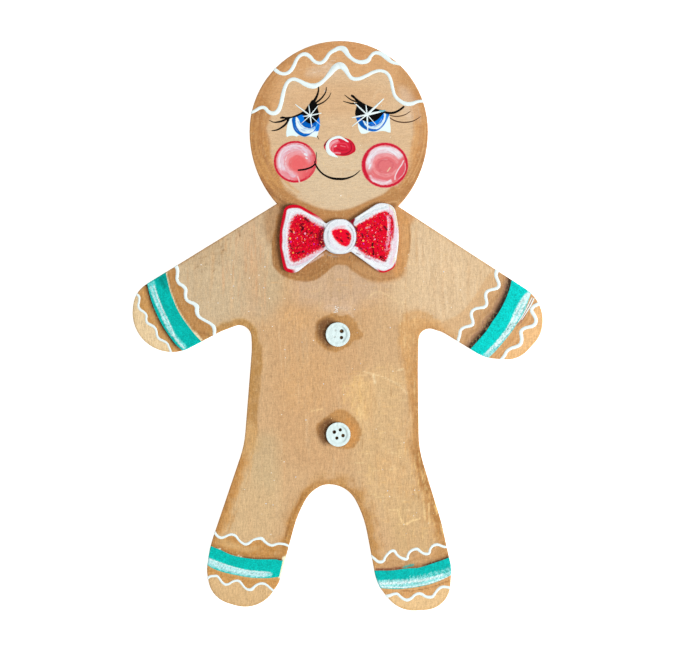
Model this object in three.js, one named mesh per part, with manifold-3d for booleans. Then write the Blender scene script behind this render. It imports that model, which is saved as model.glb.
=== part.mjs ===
import * as THREE from 'three';
import * as BufferGeometryUtils from 'three/addons/utils/BufferGeometryUtils.js';
import Module from 'manifold-3d';

// A gingerbread man ornament: a flat figure sawn from thin board, with a bow tie of thinner board
// and two sewing buttons glued to its face. It lies on its back in millimetres, +Z up and +Y towards
// the crown. z = 0 is the back of the board, and x = y = 0 is the middle of the figure.

// Board
const boardThickness = 6;
const boardSanding = 0.5; // chamfer left where the sawn edge was sanded
const chordError = 0.04; // how far a facet may stand off a true arc

// Head: four quarters of ellipses about one middle, the lower two cut short at the neck
const head = {
	x: 1.5,
	y: 104,
	leftWidth: 48.7,
	rightWidth: 46.9,
	crownRise: 48.5,
	leftJawDrop: 54,
	rightJawDrop: 53.2
};
const neck = { leftX: - 32.5, rightX: 32.4 }; // where the jaws meet the shoulders

// The rest of the figure is straight saw cuts joined by arcs. Each entry is the corner where two
// cuts would meet, and the radius of the arc that the saw followed instead.
const leftArm = [
	{ x: - 108.5, y: 18.5, radius: 15 }, // top of the hand
	{ x: - 112.7, y: - 14, radius: 21.2 }, // finger end
	{ x: - 84, y: - 14.2, radius: 18 }, // heel of the hand
	{ x: - 63, y: - 3.2, radius: 15 },
	{ x: - 46.9, y: 3, radius: 6.5 } // armpit
];
const leftLeg = [
	{ x: - 45.8, y: - 11, radius: 60 }, // waist
	{ x: - 50, y: - 64, radius: 55 }, // hip
	{ x: - 68.3, y: - 118, radius: 60 },
	{ x: - 70.2, y: - 131, radius: 18 },
	{ x: - 67.5, y: - 146, radius: 15 }, // outside of the foot
	{ x: - 42, y: - 153.5, radius: 18 }, // sole
	{ x: - 31.3, y: - 137.5, radius: 11 },
	{ x: - 21.8, y: - 102, radius: 59 }
];
const crotch = [
	{ x: - 15, y: - 89, radius: 18.5 },
	{ x: - 7.5, y: - 85, radius: 10 },
	{ x: 5, y: - 85, radius: 15.8 }
];
const rightLeg = [
	{ x: 14, y: - 101.5, radius: 59 },
	{ x: 21, y: - 138.5, radius: 24 },
	{ x: 33, y: - 153, radius: 17 }, // sole
	{ x: 59.5, y: - 151.5, radius: 14 }, // outside of the foot
	{ x: 61, y: - 130, radius: 17 },
	{ x: 55.5, y: - 105, radius: 60 },
	{ x: 43.5, y: - 66, radius: 56 }, // hip
	{ x: 43, y: - 23.5, radius: 60 } // waist
];
const rightArm = [
	{ x: 43.5, y: 0.5, radius: 6 }, // armpit
	{ x: 56.5, y: - 3.5, radius: 12 },
	{ x: 79.5, y: - 17.5, radius: 21 }, // heel of the hand
	{ x: 97, y: - 18.5, radius: 15 },
	{ x: 108.7, y: - 5.5, radius: 16.4 }, // finger end
	{ x: 111.7, y: 12.5, radius: 20 } // top of the hand
];

// What is glued on was centred by eye on the painting, a little off the middle of the outline.
const paintedMiddle = { x: - 0.35, y: 0.3 };

// Bow tie
const bowThickness = 3;
const bowSanding = 0.35;
const bowOutline = [
	{ x: - 5.9, y: 54.1, radius: 0.8 }, // left wing meets the knot, upper edge
	{ x: - 10.2, y: 58.4, radius: 9 },
	{ x: - 21.5, y: 65, radius: 9 },
	{ x: - 28, y: 63.2, radius: 3.6 },
	{ x: - 31.6, y: 45.5, radius: 45 },
	{ x: - 28.2, y: 29, radius: 3.4 },
	{ x: - 22.6, y: 27.2, radius: 6 },
	{ x: - 5.8, y: 40.6, radius: 0.8 },
	{ x: - 2.6, y: 37.9, radius: 8 }, // underside of the knot
	{ x: 4.6, y: 37.9, radius: 8 },
	{ x: 7.3, y: 39.4, radius: 0.8 },
	{ x: 24.2, y: 27.2, radius: 5 },
	{ x: 31, y: 30.6, radius: 5 },
	{ x: 33.6, y: 48, radius: 45 },
	{ x: 30.6, y: 64, radius: 5.5 },
	{ x: 22.6, y: 65.6, radius: 7 },
	{ x: 6.6, y: 55.3, radius: 0.8 }, // right wing meets the knot, upper edge
	{ x: 4.6, y: 56.6, radius: 6 },
	{ x: - 2.2, y: 56.6, radius: 9.5 }
];

// Sewing buttons
const button = {
	radius: 7,
	thickness: 2.6,
	rimWidth: 2.2,
	edgeRounding: 0.5,
	dishDepth: 0.7, // how far the middle lies below the rim
	baseChamfer: 0.7,
	holeRadius: 0.9,
	holeSpacing: 3.4,
	clogFloor: 1.3, // height of the paint that fills a clogged hole
	segments: 48
};
const upperButton = { x: 0.4, y: - 5, turn: - 9, clogged: [ 1, 2 ] };
const lowerButton = { x: 0.7, y: - 58.4, turn: 21, clogged: [] };

// Points on an arc about (cx, cy), as many as keep the chords within chordError of it.
function arcPoints( cx, cy, radiusX, radiusY, from, to ) {

	const largest = Math.max( radiusX, radiusY );
	const step = 2 * Math.acos( 1 - chordError / largest );
	const count = Math.max( 2, Math.ceil( Math.abs( to - from ) / step ) );
	const points = [];
	for ( let i = 0; i <= count; i ++ ) {

		const angle = from + ( to - from ) * i / count;
		points.push( new THREE.Vector2( cx + radiusX * Math.cos( angle ), cy + radiusY * Math.sin( angle ) ) );

	}

	return points;

}

// The arc that rounds one corner, tangent to the cuts on both sides of it.
function roundCorner( before, corner, after ) {

	const here = new THREE.Vector2( corner.x, corner.y );
	const towardsBefore = new THREE.Vector2( before.x, before.y ).sub( here ).normalize();
	const towardsAfter = new THREE.Vector2( after.x, after.y ).sub( here ).normalize();
	const halfAngle = Math.acos( towardsBefore.dot( towardsAfter ) ) / 2;
	const middle = towardsBefore.clone().add( towardsAfter ).normalize()
		.multiplyScalar( corner.radius / Math.sin( halfAngle ) ).add( here );
	const reach = corner.radius / Math.tan( halfAngle );
	const start = towardsBefore.multiplyScalar( reach ).add( here ).sub( middle );
	const end = towardsAfter.multiplyScalar( reach ).add( here ).sub( middle );
	const sweep = Math.atan2( start.cross( end ), start.dot( end ) );
	const from = start.angle();
	return arcPoints( middle.x, middle.y, corner.radius, corner.radius, from, from + sweep );

}

// Rounds every corner between two fixed ends.
function roundedCuts( start, corners, end ) {

	const stops = [ start, ...corners, end ];
	return corners.flatMap( ( corner, i ) => roundCorner( stops[ i ], corner, stops[ i + 2 ] ) );

}

// The head from the right of the neck, over the crown, to the left of the neck.
function headCurve() {

	const quarter = Math.PI / 2;
	const rightNeck = - Math.acos( ( neck.rightX - head.x ) / head.rightWidth );
	const leftNeck = 2 * quarter + Math.acos( ( head.x - neck.leftX ) / head.leftWidth );
	return [
		...arcPoints( head.x, head.y, head.rightWidth, head.rightJawDrop, rightNeck, 0 ),
		...arcPoints( head.x, head.y, head.rightWidth, head.crownRise, 0, quarter ).slice( 1 ),
		...arcPoints( head.x, head.y, head.leftWidth, head.crownRise, quarter, 2 * quarter ).slice( 1 ),
		...arcPoints( head.x, head.y, head.leftWidth, head.leftJawDrop, 2 * quarter, leftNeck ).slice( 1 )
	];

}

function figureOutline() {

	const curve = headCurve();
	const cuts = [ ...leftArm, ...leftLeg, ...crotch, ...rightLeg, ...rightArm ];
	return [ ...curve, ...roundedCuts( curve.at( - 1 ), cuts, curve[ 0 ] ) ];

}

// A flat piece of board with its two faces' edges chamfered, standing on z = 0.
function cutFromBoard( points, thickness, sanding ) {

	const geometry = new THREE.ExtrudeGeometry( new THREE.Shape( points ), {
		depth: thickness - 2 * sanding,
		bevelEnabled: true,
		bevelThickness: sanding,
		bevelSize: sanding,
		bevelOffset: - sanding,
		bevelSegments: 1
	} );
	return geometry.translate( 0, 0, sanding );

}

function merged( geometry ) {

	geometry.deleteAttribute( 'normal' );
	geometry.deleteAttribute( 'uv' );
	return BufferGeometryUtils.mergeVertices( geometry, 1e-5 );

}

function toManifold( wasm, geometry ) {

	const closed = merged( geometry );
	return new wasm.Manifold( new wasm.Mesh( {
		numProp: 3,
		vertProperties: new Float32Array( closed.attributes.position.array ),
		triVerts: new Uint32Array( closed.index.array )
	} ) );

}

function toGeometry( manifold ) {

	const mesh = manifold.getMesh();
	const geometry = new THREE.BufferGeometry();
	geometry.setAttribute( 'position', new THREE.BufferAttribute( mesh.vertProperties, 3 ) );
	geometry.setIndex( new THREE.BufferAttribute( mesh.triVerts, 1 ) );
	geometry.computeVertexNormals();
	return geometry;

}

// Half section of a button: chamfered base, rounded rim and a dished middle.
function buttonProfile() {

	const rimRadius = button.edgeRounding;
	const rim = arcPoints(
		button.radius - rimRadius, button.thickness - rimRadius, rimRadius, rimRadius, 0, Math.PI / 2
	);
	const rimInside = button.radius - button.rimWidth;
	const dishFloor = button.thickness - button.dishDepth;
	return [
		new THREE.Vector2( 0, 0 ),
		new THREE.Vector2( button.radius - button.baseChamfer, 0 ),
		new THREE.Vector2( button.radius, button.baseChamfer ),
		...rim,
		new THREE.Vector2( rimInside, button.thickness ),
		new THREE.Vector2( rimInside - button.dishDepth, dishFloor + 0.3 * button.dishDepth ),
		new THREE.Vector2( rimInside - 2 * button.dishDepth, dishFloor ),
		new THREE.Vector2( 0, dishFloor )
	];

}

// A button with its thread holes, some of them filled with paint up to clogFloor.
function makeButton( wasm, clogged ) {

	let solid = toManifold( wasm, new THREE.LatheGeometry( buttonProfile(), button.segments ).rotateX( Math.PI / 2 ) );
	const half = button.holeSpacing / 2;
	const corners = [ [ half, half ], [ - half, half ], [ - half, - half ], [ half, - half ] ];
	corners.forEach( ( [ x, y ], index ) => {

		const bottom = clogged.includes( index ) ? button.clogFloor : - 1;
		const top = button.thickness + 1;
		const drill = new THREE.CylinderGeometry( button.holeRadius, button.holeRadius, top - bottom, 16 );
		drill.rotateX( Math.PI / 2 ).translate( x, y, ( top + bottom ) / 2 );
		solid = solid.subtract( toManifold( wasm, drill ) );

	} );
	return toGeometry( solid );

}

function addPiece( group, name, geometry, material ) {

	const mesh = new THREE.Mesh( geometry, material );
	mesh.name = name;
	group.add( mesh );
	return mesh;

}

const wasm = await Module();
wasm.setup();

const paintedWood = new THREE.MeshStandardMaterial( { color: 0xcfa77a, roughness: 0.7, metalness: 0 } );
const redPaint = new THREE.MeshStandardMaterial( { color: 0xd3142c, roughness: 0.5, metalness: 0 } );
const whitePaint = new THREE.MeshStandardMaterial( { color: 0xe8f0f2, roughness: 0.45, metalness: 0 } );

const group = new THREE.Group();

addPiece( group, 'board', cutFromBoard( figureOutline(), boardThickness, boardSanding ), paintedWood );

const bowPoints = roundedCuts( bowOutline.at( - 1 ), bowOutline, bowOutline[ 0 ] );
const bowTie = addPiece( group, 'bow_tie', cutFromBoard( bowPoints, bowThickness, bowSanding ), redPaint );
bowTie.position.set( paintedMiddle.x, paintedMiddle.y, boardThickness );

for ( const [ name, place ] of [ [ 'upper_button', upperButton ], [ 'lower_button', lowerButton ] ] ) {

	const mesh = addPiece( group, name, makeButton( wasm, place.clogged ), whitePaint );
	mesh.position.set( place.x + paintedMiddle.x, place.y + paintedMiddle.y, boardThickness );
	mesh.rotation.z = THREE.MathUtils.degToRad( place.turn );

}

export default group;
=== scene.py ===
import math

import bpy
import numpy as np
from mathutils import Matrix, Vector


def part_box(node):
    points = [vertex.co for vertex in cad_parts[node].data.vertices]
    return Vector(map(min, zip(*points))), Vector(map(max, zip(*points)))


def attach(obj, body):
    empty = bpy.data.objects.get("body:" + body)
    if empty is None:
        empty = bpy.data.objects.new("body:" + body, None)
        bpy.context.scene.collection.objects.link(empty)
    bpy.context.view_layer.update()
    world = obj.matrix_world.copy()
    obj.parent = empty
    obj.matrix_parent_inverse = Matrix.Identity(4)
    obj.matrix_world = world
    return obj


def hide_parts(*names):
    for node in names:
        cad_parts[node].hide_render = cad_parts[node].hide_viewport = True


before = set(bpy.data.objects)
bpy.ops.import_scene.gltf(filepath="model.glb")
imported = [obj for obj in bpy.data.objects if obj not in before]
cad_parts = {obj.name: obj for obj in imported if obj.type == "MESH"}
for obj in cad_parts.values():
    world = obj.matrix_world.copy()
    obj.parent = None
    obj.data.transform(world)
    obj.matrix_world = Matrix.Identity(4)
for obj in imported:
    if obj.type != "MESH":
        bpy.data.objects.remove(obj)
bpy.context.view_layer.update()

# A hand-painted wooden gingerbread man. Places in the dictionaries are millimetres from the middle
# of the painting, x to the right and y up towards the crown. Colours are as the paint should look,
# in hex or as red, green and blue.

mm = 0.001
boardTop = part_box("board")[1].z / mm
artMiddle = (-0.35, 0.3)   # the painting sits this far off the middle of the sawn outline
lightLevel = 1.3     # how bright a white card is in this light, so that paints can be given as seen


def seen(colour):
    # linear paint that looks like this sRGB colour under the studio light
    if isinstance(colour, str):
        colour = [int(colour[i:i + 2], 16) for i in (0, 2, 4)]
    linear = []
    for value in colour:
        value = value / 255
        linear.append(value / 12.92 if value <= 0.04045 else ((value + 0.055) / 1.055) ** 2.4)
    return np.array(linear) / lightLevel


# selecting, editing and cutting pieces

def pick(*pieces):
    bpy.ops.object.select_all(action="DESELECT")
    for piece in pieces:
        piece.select_set(True)
    bpy.context.view_layer.objects.active = pieces[0]


def openMesh(piece):
    pick(piece)
    bpy.ops.object.mode_set(mode="EDIT")
    bpy.ops.mesh.select_mode(type="VERT")
    bpy.ops.mesh.select_all(action="SELECT")


def closeMesh():
    bpy.ops.object.mode_set(mode="OBJECT")


def selectEdges(piece, wanted):
    # leaves an open mesh with just those edges selected whose two ends pass the test
    bpy.ops.mesh.select_mode(type="EDGE")
    bpy.ops.mesh.select_all(action="DESELECT")
    closeMesh()
    for edge in piece.data.edges:
        edge.select = wanted(*(piece.data.vertices[i].co for i in edge.vertices))
    bpy.ops.object.mode_set(mode="EDIT")


def duplicate(piece):
    copy = piece.copy()
    copy.data = piece.data.copy()
    bpy.context.collection.objects.link(copy)
    return copy


def cut(piece, tool, operation="INTERSECT"):
    # boolean with a tool piece, which is used up
    modifier = piece.modifiers.new("cut", "BOOLEAN")
    modifier.operation = operation
    modifier.object = tool
    modifier.solver = "MANIFOLD"
    pick(piece)
    bpy.ops.object.modifier_apply(modifier=modifier.name)
    bpy.data.objects.remove(tool)


def smooth(piece, degrees=35):
    pick(piece)
    bpy.ops.object.shade_smooth_by_angle(angle=math.radians(degrees))


def fromArt(piece, share=1):
    # moves a piece from the painting's middle to the middle of the outline, or back with share -1
    piece.data.transform(Matrix.Translation((artMiddle[0] * mm * share, artMiddle[1] * mm * share, 0)))


def settle(piece, material, stands=None):
    # gives a piece its paint and fixes it to the body
    fromArt(piece)
    piece.data.materials.clear()
    piece.data.materials.append(material)
    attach(piece, "root")
    if stands:
        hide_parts(stands)


def joined(name, parts):
    pick(*parts)
    bpy.ops.object.join()
    piece = bpy.context.object
    piece.name = name
    return piece


def vertexPlaces(piece):
    flat = np.empty(len(piece.data.vertices) * 3, np.float32)
    piece.data.vertices.foreach_get("co", flat)
    return flat.reshape(-1, 3).astype(float) / mm


# lines and areas on the face of the board

def smoothLine(points, steps=5):
    # a soft curve through the given points
    points = np.array([point[:2] for point in points], float)
    padded = np.vstack([2 * points[0] - points[1], points, 2 * points[-1] - points[-2]])
    t = (np.arange(steps) / steps)[:, None]
    pieces = []
    for i in range(len(points) - 1):
        a, b, c, d = padded[i:i + 4]
        pieces.append(0.5 * (2 * b + (c - a) * t + (2 * a - 5 * b + 4 * c - d) * t * t
                             + (3 * b - a - 3 * c + d) * t ** 3))
    return np.vstack(pieces + [points[-1]])


def closedLine(points, steps=5):
    points = [tuple(point) for point in points]
    line = smoothLine([points[-1]] + points + [points[0], points[1]], steps)
    return line[steps:-steps]


def arc(x, y, radiusX, radiusY, start, end, count=12):
    # points on an ellipse, between angles in degrees
    turn = np.radians(np.linspace(start, end, count))
    return np.column_stack([x + radiusX * np.cos(turn), y + radiusY * np.sin(turn)])


def measure(places, starts, ends):
    # distance of every place from a chain of segments, the side it lies on, how far along it is
    steps = ends - starts
    lengths = np.maximum(np.hypot(steps[:, 0], steps[:, 1]), 1e-9)
    before = np.concatenate([[0], np.cumsum(lengths)[:-1]])
    best = np.full(len(places), 1e9)
    side = np.zeros(len(places))
    along = np.zeros(len(places))
    for start, step, length, offset in zip(starts, steps, lengths, before):
        away = places - start
        t = np.clip((away @ step) / length ** 2, 0, 1)
        distance = np.hypot(away[:, 0] - t * step[0], away[:, 1] - t * step[1])
        nearer = distance < best
        best[nearer] = distance[nearer]
        side[nearer] = np.sign(step[0] * away[nearer, 1] - step[1] * away[nearer, 0])
        along[nearer] = offset + t[nearer] * length
    return best, side, along


def insideOf(places, line):
    # even-odd test against a closed line
    x, y = places[:, 0], places[:, 1]
    hit = np.zeros(len(places), bool)
    for (x1, y1), (x2, y2) in zip(line[:-1], line[1:]):
        if y1 != y2:
            hit ^= ((y1 > y) != (y2 > y)) & (x < (x2 - x1) * (y - y1) / (y2 - y1) + x1)
    return hit


def ripple(places, size, seed):
    # gentle random waves of about -1 to 1, size millimetres across
    dice = np.random.default_rng(seed)
    total = np.zeros(len(places))
    for _ in range(6):
        turn, phase, cross = dice.uniform(0, 2 * math.pi, 3)
        rate = 2 * math.pi / (size * dice.uniform(0.6, 1.7))
        u = places[:, 0] * math.cos(turn) + places[:, 1] * math.sin(turn)
        v = places[:, 1] * math.cos(turn) - places[:, 0] * math.sin(turn)
        total += np.sin(u * rate + phase + 1.4 * np.sin(v * rate * 0.6 + cross))
    return total / 3.2


def ramp(value, low, high):
    t = np.clip((value - low) / np.maximum(high - low, 1e-6), 0, 1)
    return t * t * (3 - 2 * t)


# painting: every vertex of a piece carries the colour of its coat

def startCoat(piece, colour):
    places = vertexPlaces(piece)
    coat = {"piece": piece, "z": places[:, 2], "xy": places[:, :2]}
    coat["rgb"] = np.tile(seen(colour), (len(places), 1))
    coat["relief"] = np.zeros(len(places))
    return coat


def near(coat, line, reach):
    low, high = line.min(axis=0) - reach, line.max(axis=0) + reach
    return np.flatnonzero(np.all((coat["xy"] > low) & (coat["xy"] < high), axis=1))


everywhere = slice(None)


def lay(coat, picked, cover, colour, rise=0.0):
    cover = np.clip(cover, 0, 1)
    coat["rgb"][picked] += (seen(colour) - coat["rgb"][picked]) * np.reshape(cover, (-1, 1))
    coat["relief"][picked] += rise * cover


def brush(coat, line, colour, wide, strength=1.0, soft=0.6, side=0, ragged=0.0, dry=0.0, fade=(0, 0),
          seed=1, closed=False, rise=0.0):
    # one stroke. side 1 or -1 lays paint only to the left or right of the line, as a side-loaded
    # brush does; dry lets the ground show between the bristles; fade thins the two ends
    path = closedLine(line) if closed else smoothLine(line)
    half = wide if side else wide / 2
    picked = near(coat, path, half * 1.6)
    if len(picked) == 0:
        return
    places = coat["xy"][picked]
    distance, where, along = measure(places, path[:-1], path[1:])
    bristles = ripple(np.column_stack([along * 0.12, distance * where]), max(wide * 0.13, 0.4), seed + 7)
    reach = half * (1 + ragged * ripple(places, max(wide, 1.5), seed))
    cover = strength * ramp(reach - distance, 0, half * soft)
    if side:
        cover = np.where(where * side > 0, cover, cover * ramp(1.4 - distance, 0, 0.8))
    cover = cover * (1 - dry * ramp(bristles, -0.5, 0.6))
    if fade[0]:
        cover = cover * ramp(along, 0, fade[0])
    if fade[1]:
        cover = cover * ramp(along.max() - along, 0, fade[1])
    lay(coat, picked, cover, colour, rise)


def area(coat, line, colour, strength=1.0, soft=2.0, ragged=0.0, mottle=0.0, seed=1, rise=0.0,
         grain=6.0, straight=False):
    # a filled patch whose edge fades over soft millimetres
    path = np.array(list(line) + [line[0]], float) if straight else closedLine(line)
    picked = near(coat, path, soft + ragged * 2)
    if len(picked) == 0:
        return
    places = coat["xy"][picked]
    distance, _, _ = measure(places, path[:-1], path[1:])
    depth = np.where(insideOf(places, path), distance, -distance)
    depth = depth + ragged * ripple(places, grain, seed)
    cover = strength * ramp(depth, -soft / 2, soft / 2)
    cover = cover * (1 - mottle * ramp(ripple(places, grain, seed + 3), -0.8, 0.8))
    lay(coat, picked, cover, colour, rise)


def edgeFloat(coat, line, colour, reach, strength=1.0, soft=3.0, ragged=0.25, mottle=0.2, seed=1,
              grain=9.0, rise=0.0):
    # paint floated in from the sawn edge as far as reach, where the line goes round it
    path = closedLine(line)
    picked = near(coat, path, 3)
    places = coat["xy"][picked]
    distance, _, _ = measure(places, path[:-1], path[1:])
    depth = np.where(insideOf(places, path), distance, -distance)
    wide = reach * (1 + ragged * ripple(places, grain, seed))
    cover = strength * ramp(wide - coat["gap"][picked], 0, soft) * ramp(depth, -1.5, 1.5)
    cover = cover * (1 - mottle * ramp(ripple(places, grain * 0.6, seed + 3), -0.8, 0.8))
    lay(coat, picked, cover, colour, rise)


def stroke(wide, colour, line, strength=1.0, **more):
    return brush, dict(line=line, colour=colour, wide=wide, strength=strength, **more)


def patch(colour, line, strength=1.0, soft=2.0, **more):
    return area, dict(line=line, colour=colour, strength=strength, soft=soft, **more)


def floated(reach, colour, line, strength=1.0, soft=3.0, **more):
    return edgeFloat, dict(line=line, colour=colour, reach=reach, strength=strength, soft=soft, **more)


def streaks(line, colours, count, long, wide, strength, turn=90, spread=4, dry=0.3, seed=1):
    # loose strokes of a dry brush, all in much the same direction, inside the line
    dice = np.random.default_rng(seed)
    path = closedLine(line)
    low, high = path.min(axis=0), path.max(axis=0)
    strokes = []
    while len(strokes) < count:
        spot = dice.uniform(low, high)
        if insideOf(spot[None, :], path)[0]:
            angle = math.radians(turn + dice.uniform(-spread, spread))
            length = dice.uniform(*long)
            step = np.array([math.cos(angle), math.sin(angle)]) * length / 2
            colour = colours[dice.integers(len(colours))]
            strokes.append(stroke(dice.uniform(*wide), colour, [spot - step, spot + step],
                                  dice.uniform(*strength), soft=0.9, dry=dry,
                                  fade=(length * 0.3, length * 0.3), seed=int(dice.integers(900))))
    return strokes


def arcStreaks(x, y, radii, angles, colours, count, wide, strength, span=(14, 45), squash=1.0, dry=0.3,
               seed=1):
    # loose strokes that run round a place, between two radii and two angles
    dice = np.random.default_rng(seed)
    strokes = []
    for _ in range(count):
        radius, start = dice.uniform(*radii), dice.uniform(*angles)
        end = min(start + dice.uniform(*span), angles[1] + 6)
        colour = colours[dice.integers(len(colours))]
        strokes.append(stroke(dice.uniform(*wide), colour, arc(x, y, radius, radius * squash, start, end, 6),
                              dice.uniform(*strength), soft=0.9, dry=dry, fade=(1, 1),
                              seed=int(dice.integers(900))))
    return strokes


def between(oneLine, otherLine, share, count=9):
    # the line that lies this share of the way from one line to another
    ends = []
    for line in (oneLine, otherLine):
        line = smoothLine(line)
        lengths = np.hypot(*np.diff(line, axis=0).T)
        along = np.concatenate([[0], np.cumsum(lengths)]) / lengths.sum()
        places = np.linspace(0, 1, count)
        ends.append(np.column_stack([np.interp(places, along, line[:, i]) for i in (0, 1)]))
    return ends[0] * (1 - share) + ends[1] * share


def paint(coat, strokes):
    for tool, settings in strokes:
        tool(coat, **settings)


def keepCoat(coat):
    layer = coat["piece"].data.color_attributes.new(name="coat", type="FLOAT_COLOR", domain="POINT")
    # the alpha says how far the brush went across the piece instead of up and down
    across = np.zeros(len(coat["rgb"])) + coat.get("across", 0)
    rgba = np.column_stack([np.clip(coat["rgb"], 0, 1), across])
    layer.data.foreach_set("color", rgba.astype(np.float32).ravel())


def farFrom(coat, x, y):
    return np.hypot(coat["xy"][:, 0] - x, coat["xy"][:, 1] - y)


def raiseRelief(coat, level):
    # lifts the thick paint on the flat top of a piece
    mesh = coat["piece"].data
    places = np.column_stack([coat["xy"], coat["z"]])
    places[:, 2] += np.where(coat["z"] > level, coat["relief"], 0)
    mesh.vertices.foreach_set("co", (places * mm).astype(np.float32).ravel())
    mesh.update()


def finishFilm(film, ground, strokes, material):
    coat = startCoat(film, ground)
    paint(coat, strokes)
    keepCoat(coat)
    smooth(film)
    settle(film, material)


# blanks, films and lines of paint

def sawnBlank(node, name, arris):
    # the outline of a CAD board sawn out again, with its arrises sanded round
    piece = duplicate(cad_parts[node])
    piece.parent = None
    piece.name = name
    fromArt(piece, -1)
    low, high = (corner.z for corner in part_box(node))
    middle = (low + high) / 2
    openMesh(piece)
    bpy.ops.mesh.remove_doubles(threshold=1e-6)
    bpy.ops.mesh.bisect(plane_co=(0, 0, middle), plane_no=(0, 0, 1), use_fill=True,
                        clear_inner=True, clear_outer=True)
    bpy.ops.mesh.select_all(action="SELECT")
    bpy.ops.mesh.dissolve_limited(angle_limit=math.radians(0.5))
    for _ in range(4):
        # long saw cuts get more points, so that paint can change along them
        selectEdges(piece, lambda a, b: (a - b).length > 3 * mm)
        bpy.ops.mesh.subdivide(number_cuts=1)
    closeMesh()
    places = vertexPlaces(piece)[:, :2]
    pairs = np.array([edge.vertices[:] for edge in piece.data.edges])
    openMesh(piece)
    bpy.ops.transform.translate(value=(0, 0, low - middle))
    bpy.ops.mesh.extrude_region_move(TRANSFORM_OT_translate={"value": (0, 0, high - low)})
    bpy.ops.mesh.select_all(action="SELECT")
    bpy.ops.mesh.normals_make_consistent(inside=False)
    selectEdges(piece, lambda a, b: abs(a.z - b.z) < 1e-7)
    bpy.ops.mesh.bevel(offset=arris * mm, segments=3, profile=0.5, affect="EDGES")
    closeMesh()
    return piece, (places[pairs[:, 0]], places[pairs[:, 1]])


def grown(piece, thickness):
    # a copy with every face moved outwards
    copy = duplicate(piece)
    openMesh(copy)
    bpy.ops.transform.shrink_fatten(value=thickness * mm)
    closeMesh()
    return copy


def gridTop(piece, cell, top):
    # planes the top of a piece down to this height and cuts it into small squares to blend paint on
    places = vertexPlaces(piece)
    low, high = places.min(axis=0) - 0.5, places.max(axis=0) + 0.5
    wide, deep = high[0] - low[0], high[1] - low[1]
    bpy.ops.mesh.primitive_grid_add(x_subdivisions=math.ceil(wide / cell),
                                    y_subdivisions=math.ceil(deep / cell), size=1)
    block = bpy.context.object
    openMesh(block)
    bpy.ops.transform.resize(value=(wide * mm, deep * mm, 1))
    middle = ((low[0] + high[0]) / 2 * mm, (low[1] + high[1]) / 2 * mm, top * mm)
    bpy.ops.transform.translate(value=middle)
    bpy.ops.mesh.extrude_region_move(TRANSFORM_OT_translate={"value": (0, 0, (low[2] - top) * mm)})
    bpy.ops.mesh.select_all(action="SELECT")
    bpy.ops.mesh.normals_make_consistent(inside=False)
    closeMesh()
    cut(piece, block)


def newCurve(name, points):
    bpy.ops.curve.primitive_bezier_curve_add()
    curve = bpy.context.object
    curve.name = name
    curve.data.resolution_u = 5
    spline = curve.data.splines[0]
    spline.bezier_points.add(len(points) - 2)
    return curve, spline


def outlineBlock(name, outline, bottom, top):
    # a filled curve made a solid. A third value in a place makes it a sharp corner
    curve, spline = newCurve(name, outline)
    curve.data.dimensions = "2D"
    curve.data.fill_mode = "BOTH"
    curve.data.extrude = (top - bottom) / 2 * mm
    spline.use_cyclic_u = True
    for point, place in zip(spline.bezier_points, outline):
        point.co = (place[0] * mm, place[1] * mm, 0)
        kind = "VECTOR" if len(place) > 2 else "AUTO"
        point.handle_left_type = kind
        point.handle_right_type = kind
    pick(curve)
    bpy.ops.object.convert(target="MESH")
    block = bpy.context.object
    openMesh(block)
    bpy.ops.mesh.remove_doubles(threshold=1e-6)
    bpy.ops.transform.translate(value=(0, 0, (top + bottom) / 2 * mm))
    bpy.ops.mesh.normals_make_consistent(inside=False)
    closeMesh()
    return block


def paintFilm(name, outline, lift, cell):
    # a thin film of paint on the board, its top cut small enough to blend colours on
    film = outlineBlock(name, outline, boardTop - 0.2, boardTop + lift + 0.2)
    gridTop(film, cell, boardTop + lift)
    return film


def paintLine(name, route, flat=0.35, lift=0.0, tips=(0.3, 0.3), shell=None):
    # a line of paint from a liner brush: route holds x, y and width, flat is its height over half
    # its width, tips are how far each end tapers. A shell trims the ends where they leave the board
    points = [(x, y, wide / 2) for x, y, wide in route]
    ends = []
    for inner, end, tip in ((points[1], points[0], tips[0]), (points[-2], points[-1], tips[1])):
        length = math.hypot(end[0] - inner[0], end[1] - inner[1])
        far = [end[i] + (end[i] - inner[i]) / length * abs(tip) for i in (0, 1)]
        ends.append((*far, end[2] * (1 if tip < 0 else 0.3)))
    points = [ends[0]] + points + [ends[1]]
    curve, spline = newCurve(name, points)
    curve.data.dimensions = "3D"
    curve.data.bevel_depth = mm
    curve.data.bevel_resolution = 2
    curve.data.use_fill_caps = True
    for point, (x, y, radius) in zip(spline.bezier_points, points):
        point.co = (x * mm, y * mm, 0)
        point.radius = radius
        point.handle_left_type = "AUTO"
        point.handle_right_type = "AUTO"
    pick(curve)
    bpy.ops.object.convert(target="MESH")
    line = bpy.context.object
    openMesh(line)
    bpy.ops.mesh.remove_doubles(threshold=1e-7)
    bpy.ops.transform.resize(value=(1, 1, flat), center_override=(0, 0, 0))
    bpy.ops.transform.translate(value=(0, 0, (boardTop + lift) * mm))
    bpy.ops.mesh.normals_make_consistent(inside=False)
    closeMesh()
    if shell:
        cut(line, duplicate(shell))
    smooth(line, 60)
    return line


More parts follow.
